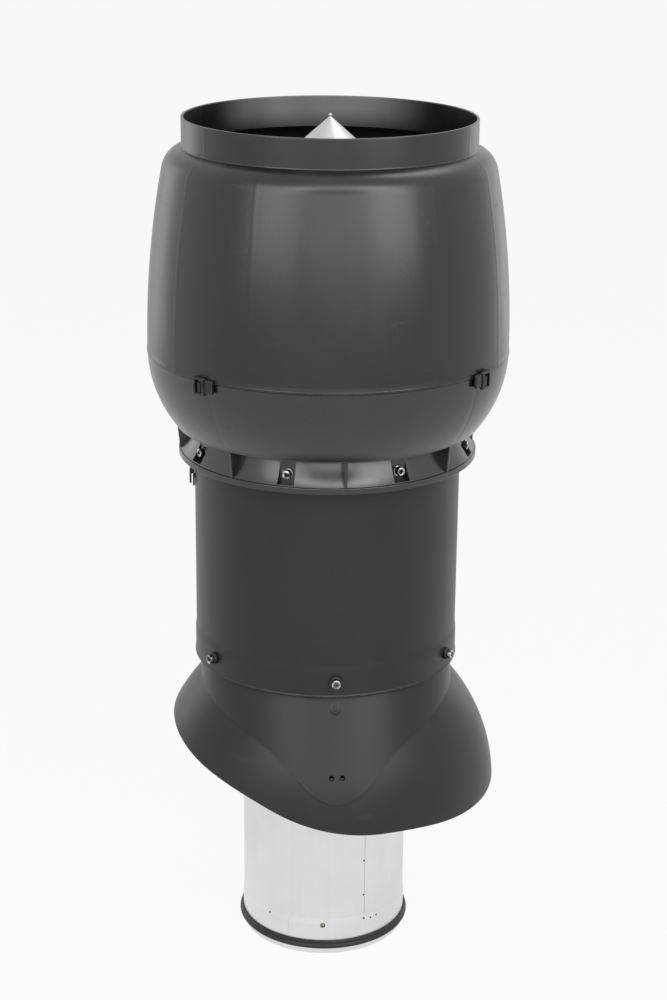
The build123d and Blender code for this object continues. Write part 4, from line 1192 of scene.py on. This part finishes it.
def lapped(skin, points, worn, azimuth, edge, fade, proud, low, high, outside):
    """Turned sheet that laps over itself: its outside steps out by a sheet's thickness at the edge and runs
    back to the plain radius over an angle."""
    if not counter_clockwise(points):
        points, worn = points[::-1], worn[::-1]
    share = np.where(azimuth <= edge, np.clip(1 - (edge - azimuth) / fade, 0, 1), 0.0)[None, :]
    rows = ((points[:, 0] > outside - 0.3) & (points[:, 1] > low) & (points[:, 1] < high))[:, None]
    radius = points[:, :1] + proud * share * rows
    skin.shell(around(radius, points[:, 1:], azimuth[None, :]), along_rows(worn, len(azimuth)))


duct = Skin()
duct_points, duct_worn = rounded([
    (DUCT_R - SHEET, DUCT_LOW, 0.0),
    (DUCT_R, DUCT_LOW, 0.0),
    (DUCT_R, COUPLING_TOP + 0.5, 0.0),
    (DUCT_R, COUPLING_TOP + 0.7, 0.0),
    (DUCT_R, DUCT_TOP - 2.1, 0.0),
    (DUCT_R, DUCT_TOP - 1.9, 0.0),
    (DUCT_R, DUCT_TOP, 0.3),
    (DUCT_R - SHEET, DUCT_TOP, 0.3),
], 3)
duct_points, duct_worn = steadied(duct_points, duct_worn, 0.5, 40.0)
lapped(duct, duct_points, duct_worn, sheet_turn(LAP_AZ), LAP_AZ, LAP_FADE, LAP_PROUD,
       COUPLING_TOP + 0.6, DUCT_TOP - 2.0, DUCT_R)
piece("inner_duct_skin", duct, duct_finish, "inner_duct")

spots = Skin()
spot_profile = np.array([(1.3, -0.6), (1.25, 0.05), (0.9, 0.2), (0.4, 0.24)])
for spot_height in (76.0, 123.0, 170.0, 217.0):
    spun_button(spots, spot_profile, np.zeros(4), LAP_AZ - 0.6, spot_height, DUCT_R + LAP_PROUD, 16)
for spot_azimuth, spot_height in ((31.0, 41.0), (36.0, 42.0), (-45.0, 44.0), (LAP_AZ, 43.0)):
    spun_button(spots, spot_profile, np.zeros(4), spot_azimuth, spot_height, COUPLING_OUT, 16)
piece("duct_spot_marks", spots, rivet_finish, None)


def lap_shadow_strip(skin, radius, azimuth, low, high, width):
    """Thin dark upright strip beside a lapped edge: a painted shadow along the step of the lap."""
    half = math.degrees(width / radius) / 2
    turns = azimuth + np.array([-half, half])
    sheet = np.array([(radius + 0.06, low), (radius + 0.06, high), (radius - 0.3, high), (radius - 0.3, low)])
    edge = around(sheet[:, :1], sheet[:, 1:], turns[None, :])
    corners = edge.reshape(-1, 3)
    skin.add(corners, [(0, 1, 3, 2), (2, 3, 5, 4), (4, 5, 7, 6), (6, 7, 1, 0), (0, 2, 4, 6), (1, 7, 5, 3)],
             np.zeros(len(corners)))


# Painted shadow: a dark strip in the screws' black finish along the duct's lap edge
lap_shadows = Skin()
lap_shadow_strip(lap_shadows, DUCT_R, LAP_AZ + 0.25, COUPLING_TOP + 1.0, DUCT_TOP - 3.0, 0.5)
piece("duct_lap_shadow_line", lap_shadows, black_screw_finish, None)

coupling = Skin()
coupling_points, coupling_worn = rounded([
    (COUPLING_IN - 4.0, 0.0, 0.3),
    (COUPLING_OUT - 1.8, 0.0, 1.2),
    (COUPLING_OUT, 3.0, 1.2),
    (COUPLING_OUT, COUPLING_TOP - 7.0, 8.0),
    (DUCT_R + 0.1, COUPLING_TOP, 0.0),
    (DUCT_R + 0.02, COUPLING_TOP, 0.0),
    (COUPLING_IN, 3.2, 0.0),
    (COUPLING_IN - 4.0, 1.0, 0.3),
], 4)
coupling_points, coupling_worn = steadied(coupling_points, coupling_worn, 0.4, 12.0)
lapped(coupling, coupling_points, coupling_worn * 0.3, sheet_turn(JOINT_AZ), JOINT_AZ, LAP_FADE,
       JOINT_PROUD, 27.0, COUPLING_TOP + 1.0, COUPLING_OUT)
piece("duct_coupling_skin", coupling, duct_finish, "duct_coupling")

RIVET_ANGLES = (-4.6, 115.4, 235.4)
RIVET_Z = 40.0
rivets = Skin()
rivet_profile = np.array([(1.8, -3.0), (1.8, 0.2), (3.1, 0.2), (3.2, 0.5), (2.8, 1.05),
                          (2.1, 1.4), (1.1, 1.5), (0.95, 1.3), (0.9, 0.8)])
for rivet_azimuth in RIVET_ANGLES:
    spun_button(rivets, rivet_profile, np.array([0, 0, 0, 0.3, 0.3, 0.2, 0.8, 0, 0]), rivet_azimuth, RIVET_Z,
                COUPLING_OUT)
piece("duct_rivet_skins", rivets, rivet_finish, "duct_rivets")

gasket = Skin()
GASKET_LOW = 9.0
GASKET_HEIGHT = 10.5
GASKET_REACH = 4.0
gasket_base = COUPLING_OUT + 0.2
gasket_lip = gasket_base + GASKET_REACH
gasket_waist = gasket_base + GASKET_REACH * 0.65
gasket_points, gasket_worn = rounded([
    (gasket_base, GASKET_LOW, 0.3),
    (gasket_waist, GASKET_LOW, 0.8),
    (gasket_lip, GASKET_LOW + GASKET_HEIGHT * 0.22, 0.9),
    (gasket_lip, GASKET_LOW + GASKET_HEIGHT * 0.42, 0.9),
    (gasket_waist, GASKET_LOW + GASKET_HEIGHT * 0.55, 0.7),
    (gasket_waist, GASKET_LOW + GASKET_HEIGHT * 0.88, 1.0),
    (gasket_base, GASKET_LOW + GASKET_HEIGHT, 0.3),
], 5)
gasket.turned(gasket_points, gasket_worn, full_turn(220))
piece("duct_gasket_skin", gasket, rubber_finish, "duct_gasket", sharp_deg=60.0)


# Rain cone

CONE_TIP_Z = 1018.0
CONE_R = 150.0
CONE_RISE = 0.88
CONE_SHEET = 1.2
CONE_LAP_AZ = -62.0
CONE_LAP_HALF = 6.0
CONE_LAP_STEP = 0.8
CONE_HOLE_R = 2.2
cone_low = CONE_TIP_Z - CONE_RISE * CONE_R
cone_drop = CONE_SHEET * math.sqrt(1 + CONE_RISE ** 2)
cone_points, cone_worn = rounded([
    (CONE_HOLE_R, CONE_TIP_Z - CONE_RISE * CONE_HOLE_R, 0.0),
    (CONE_R, cone_low, 1.0),
    (CONE_R, cone_low - 9.0, 0.3),
    (CONE_R - CONE_SHEET, cone_low - 9.0, 0.3),
    (CONE_R - CONE_SHEET, cone_low + CONE_RISE * CONE_SHEET - cone_drop, 0.0),
    (CONE_HOLE_R, CONE_TIP_Z - CONE_RISE * CONE_HOLE_R - cone_drop, 0.0),
], 4)
cone_points, cone_worn = steadied(cone_points, cone_worn, 0.5, 12.0)
if not counter_clockwise(cone_points):
    cone_points, cone_worn = cone_points[::-1], cone_worn[::-1]
cone_azimuth = sheet_turn(CONE_LAP_AZ - CONE_LAP_HALF, CONE_LAP_AZ + CONE_LAP_HALF)
cone_upper = cone_points[:, 1] > CONE_TIP_Z - CONE_RISE * cone_points[:, 0] - 0.3
cone_lapped = np.abs(cone_azimuth - CONE_LAP_AZ) < CONE_LAP_HALF
cone_stepped = cone_upper & (cone_points[:, 0] > 6)
cone_step = CONE_LAP_STEP * cone_lapped[None, :] * cone_stepped[:, None]
cone = Skin()
cone.shell(around(cone_points[:, :1], cone_points[:, 1:] + cone_step, cone_azimuth[None, :]),
           along_rows(cone_worn, len(cone_azimuth)))
piece("rain_cone_skin", cone, cone_finish, "rain_cone")

NIB_R = 2.3
nib = Skin()
nib_angle = np.radians(np.linspace(-40, 84, 12))
nib_profile = np.concatenate([
    np.array([(2.0, -8.5), (2.0, -1.4)]),
    np.stack([NIB_R * np.cos(nib_angle), 0.5 + NIB_R * np.sin(nib_angle)], 1),
])
nib_turn = full_turn(24)
nib_rings = around(nib_profile[:, :1], nib_profile[:, 1:] + CONE_TIP_Z, nib_turn[None, :])
nib.closed_tube(nib_rings)
tail_profile = np.array([(2.6, -9.2), (3.2, -8.8), (3.2, -7.6), (2.6, -7.2)])
tail_rings = around(tail_profile[:, :1], tail_profile[:, 1:] + CONE_TIP_Z, nib_turn[None, :])
nib.closed_tube(tail_rings)
piece("cone_rivet_skin", nib, spring_finish, "cone_rivet")


# Screws, washers and hook

def socket_screw_rings(shank_r, tip, head_r, head_height, socket_r, count=48):
    """Socket screw along z: shank, head with rounded rim, then a six-sided socket whose wall keeps the
    distance of a hexagon's side, the flat's distance over the cosine of the angle from its middle."""
    angle = np.radians(full_turn(count))
    from_flat = np.mod(angle, math.pi / 3) - math.pi / 6
    hexagon = socket_r * math.cos(math.pi / 6) / np.cos(from_flat)
    even = np.ones(count)
    rows = [(shank_r * even, tip), (shank_r * even, -0.02), (head_r * even - 0.3, 0.0), (head_r * even, 0.3),
            (head_r * even, head_height - 0.9), (head_r * even - 0.25, head_height - 0.3),
            (head_r * even - 0.9, head_height), (hexagon + 0.5, head_height), (hexagon, head_height - 0.35),
            (hexagon * 0.98, head_height * 0.45)]
    worn = [0, 0, 0, 0.2, 0.2, 1.0, 1.0, 0.9, 0.9, 0]
    rings = np.array([np.stack([r * np.cos(angle), r * np.sin(angle), np.full(count, z)], -1)
                      for r, z in rows])
    return rings, along_rows(worn, count)


def add_screws(skin, rings, worn, angles, height, seat):
    """The same screw at each azimuth, with its head seated at a radius."""
    for azimuth in angles:
        skin.closed_tube(placed(rings, azimuth, height, seat), worn)


def add_washers(skin, angles, height, base, inner, outer, thick, edge):
    """Flat ring round each screw: a closed outline with rounded rims, carried round the screw's axis."""
    corners = [(inner, 0.0, 0.1), (outer, 0.0, edge), (outer, thick, edge), (inner, thick, edge * 0.6)]
    outline, worn = rounded(corners, 4)
    angle = np.radians(full_turn(40))
    ring = np.stack([np.cos(angle), np.sin(angle)], -1)
    local = np.concatenate([outline[:, None, :1] * ring[None],
                            np.repeat(outline[:, None, 1:], len(angle), 1)], -1)
    for azimuth in angles:
        skin.shell(placed(local, azimuth, height, base), along_rows(worn, len(angle)))


NECK_SCREW_Z = PIPE_BOTTOM + 20.0
washer_base = PIPE_R + 1.2
neck_washers = Skin()
add_washers(neck_washers, NECK_SCREW_ANGLES, NECK_SCREW_Z, washer_base,
            inner=3.2, outer=7.2, thick=4.2, edge=1.1)
piece("neck_washer_skins", neck_washers, rubber_finish, "neck_washers")
neck_screws = Skin()
neck_screw = socket_screw_rings(shank_r=3.0, tip=-20.5, head_r=5.4, head_height=4.6, socket_r=2.9)
add_screws(neck_screws, *neck_screw, NECK_SCREW_ANGLES, NECK_SCREW_Z, washer_base + 4.4)
piece("neck_screw_skins", neck_screws, screw_finish, "neck_screws")

housing_washers = Skin()
add_washers(housing_washers, BAY_ANGLES, HOUSING_SCREW_Z, POCKET_FACE + 0.2,
            inner=3.2, outer=6.4, thick=1.2, edge=0.3)
piece("housing_washer_skins", housing_washers, black_screw_finish, "housing_washers")
housing_screws = Skin()
housing_screw = socket_screw_rings(shank_r=3.0, tip=-11.0, head_r=5.0, head_height=5.6, socket_r=2.7)
add_screws(housing_screws, *housing_screw, BAY_ANGLES, HOUSING_SCREW_Z, POCKET_FACE + 1.6)
piece("housing_screw_skins", housing_screws, black_screw_finish, "housing_screws")

hook = Skin()
HOOK_BACK = PIPE_R + 0.3
HOOK_TOP = RIM_BOTTOM - 16.0
HOOK_BOTTOM = HOOK_TOP - 26.0
HOOK_PLATE = 2.4
HOOK_HALF = 5.5
HOOK_OUTER = HOOK_PLATE + 1.4
hook_outline, _ = rounded([
    (0.0, HOOK_BOTTOM, 0.7),
    (HOOK_PLATE, HOOK_BOTTOM, 0.7),
    (HOOK_PLATE, HOOK_TOP - 11, 0.6),
    (HOOK_OUTER, HOOK_TOP - 11, 0.6),
    (HOOK_OUTER, HOOK_BOTTOM + 3, 0.8),
    (HOOK_OUTER + HOOK_PLATE, HOOK_BOTTOM + 3, 0.8),
    (HOOK_OUTER + HOOK_PLATE, HOOK_TOP - 5, 1.6),
    (HOOK_PLATE, HOOK_TOP - 5, 0.9),
    (HOOK_PLATE, HOOK_TOP, 0.8),
    (0.0, HOOK_TOP, 0.4),
], 4)


def hook_place(p):
    """Reach away from the pipe runs to the left, the hook's width runs to the back, and height stays."""
    return np.stack([-(HOOK_BACK + p[..., 0]), p[..., 2], p[..., 1]], -1)


slab(hook, hook_outline, edge_levels(-HOOK_HALF, HOOK_HALF, 0.5), hook_place, PLATE_WEAR)
hook_pin = np.array([(2.5, -4.6), (2.5, 0.3)])
spun_button(hook, hook_pin, np.zeros(2), -90.0, HOOK_TOP - 15.0, HOOK_BACK, 16)
piece("cable_hook_skin", hook, black_finish, "cable_hook")


# Inner pieces keep their solids and get a finish

inner_finish = {
    "insulation_sleeve": wool_finish,
    "insulation_base": black_finish,
    "insulation_cap": black_finish,
    "neck_nuts": bright_finish,
    "spring_band": spring_finish,
    "dome_springs": spring_finish,
    "band_bolt": bright_finish,
    "band_nut": bright_finish,
    "cone_struts": spring_finish,
    "strut_rivets": bright_finish,
}
for node_name, finish in inner_finish.items():
    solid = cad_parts[node_name]
    solid.data.materials.clear()
    solid.data.materials.append(finish)


# Floor, lights and camera

WHITE_SHARE = 0.93


def stage_material():
    """Floor: pale, and nearly white to the camera and in reflections, with the shadow left in it."""
    material = bpy.data.materials.new("pale_floor")
    material.use_nodes = True
    tree = material.node_tree
    tree.nodes.clear()
    end = tree.nodes.new("ShaderNodeOutputMaterial")
    mixer = tree.nodes.new("ShaderNodeMixShader")
    plain = tree.nodes.new("ShaderNodeBsdfDiffuse")
    plain.inputs["Color"].default_value = (0.85, 0.85, 0.85, 1.0)
    white = tree.nodes.new("ShaderNodeEmission")
    white.inputs["Color"].default_value = (1.0, 1.0, 1.0, 1.0)
    white.inputs["Strength"].default_value = 1.0
    path = tree.nodes.new("ShaderNodeLightPath")
    mirrored = math_node(tree, "MAXIMUM", path.outputs["Is Glossy Ray"], path.outputs["Is Transmission Ray"])
    seen = math_node(tree, "MAXIMUM", path.outputs["Is Camera Ray"], mirrored)
    tree.links.new(times(tree, seen, WHITE_SHARE), mixer.inputs[0])
    tree.links.new(plain.outputs[0], mixer.inputs[1])
    tree.links.new(white.outputs[0], mixer.inputs[2])
    tree.links.new(mixer.outputs[0], end.inputs["Surface"])
    return material


floor_mesh = bpy.data.meshes.new("floor")
FLOOR_HALF = 14.0
floor_mesh.from_pydata([(-FLOOR_HALF, -FLOOR_HALF, 0), (FLOOR_HALF, -FLOOR_HALF, 0),
                        (FLOOR_HALF, FLOOR_HALF, 0), (-FLOOR_HALF, FLOOR_HALF, 0)], [], [(0, 1, 2, 3)])
floor_mesh.materials.append(stage_material())
floor = bpy.data.objects.new("floor", floor_mesh)
bpy.context.scene.collection.objects.link(floor)


def area_light(name, place, target, size, size_y, power, color=(1, 1, 1)):
    """Rectangular softbox in metres and watts, turned to look at the target."""
    light = bpy.data.lights.new(name, "AREA")
    light.shape = "RECTANGLE"
    light.size = size
    light.size_y = size_y
    light.energy = power
    light.color = color
    obj = bpy.data.objects.new(name, light)
    obj.location = place
    from_place = np.array(target, float) - np.array(place, float)
    yaw = math.atan2(from_place[1], from_place[0]) - math.pi / 2
    pitch = math.atan2(from_place[2], math.hypot(from_place[0], from_place[1])) + math.pi / 2
    obj.rotation_euler = (pitch, 0, yaw)
    bpy.context.scene.collection.objects.link(obj)


area_light("left_front_softbox", (-1.17, -1.5, 1.65), (0, 0, 1.1), size=1.15, size_y=1.5, power=15)
area_light("right_front_softbox", (1.12, -1.54, 1.65), (0, 0, 1.1), size=1.05, size_y=1.5, power=18)
area_light("front_top_strip", (0.1, -1.6, 2.45), (0, 0, 1.0), size=2.2, size_y=0.4, power=13)
area_light("front_fill", (0.1, -3.3, 1.5), (0, 0, 1.0), size=2.4, size_y=1.2, power=17)
area_light("top_softbox", (0.75, 0.55, 2.5), (0.1, 0, 1.0), size=0.9, size_y=0.9, power=9)
area_light("right_softbox", (1.9, 1.9, 0.9), (0, 0, 0.6), size=0.9, size_y=1.6, power=2.5,
           color=(1.0, 0.985, 0.965))
area_light("left_softbox", (-1.9, 1.9, 0.9), (0, 0, 0.6), size=0.9, size_y=1.6, power=5)

SKY_LIGHT = 0.1
world = bpy.data.worlds.new("studio")
bpy.context.scene.world = world
world.use_nodes = True
sky = world.node_tree.nodes["Background"]
sky.inputs["Color"].default_value = (1.0, 1.0, 1.0, 1.0)
sky_path = world.node_tree.nodes.new("ShaderNodeLightPath")
sky_mirrored = math_node(world.node_tree, "MAXIMUM", sky_path.outputs["Is Glossy Ray"],
                         sky_path.outputs["Is Transmission Ray"])
sky_seen = math_node(world.node_tree, "MAXIMUM", sky_mirrored, sky_path.outputs["Is Camera Ray"])
sky_level = math_node(world.node_tree, "MAXIMUM", sky_seen, SKY_LIGHT)
world.node_tree.links.new(sky_level, sky.inputs["Strength"])

bpy.context.scene.view_settings.view_transform = "Standard"

camera_data = bpy.data.cameras.new("camera")
camera_data.sensor_width = 36.0
camera_data.sensor_fit = "AUTO"
camera_data.lens = 75.34
camera_data.clip_end = 60.0
camera = bpy.data.objects.new("camera", camera_data)
camera.location = (-0.182, -2.374, 1.3603)
camera.rotation_mode = "XYZ"
ROLL_DEG = 0.574
PITCH_DEG = 71.41
HEADING_DEG = -4.577


def camera_turn():
    """Roll about the view axis first, then tilt up from straight down, then the heading."""
    roll = Matrix.Rotation(math.radians(ROLL_DEG), 3, "Z")
    tilt = Matrix.Rotation(math.radians(PITCH_DEG), 3, "X")
    heading = Matrix.Rotation(math.radians(HEADING_DEG), 3, "Z")
    return (heading @ tilt @ roll).to_euler("XYZ")


camera.rotation_euler = camera_turn()
bpy.context.scene.collection.objects.link(camera)
bpy.context.scene.camera = camera
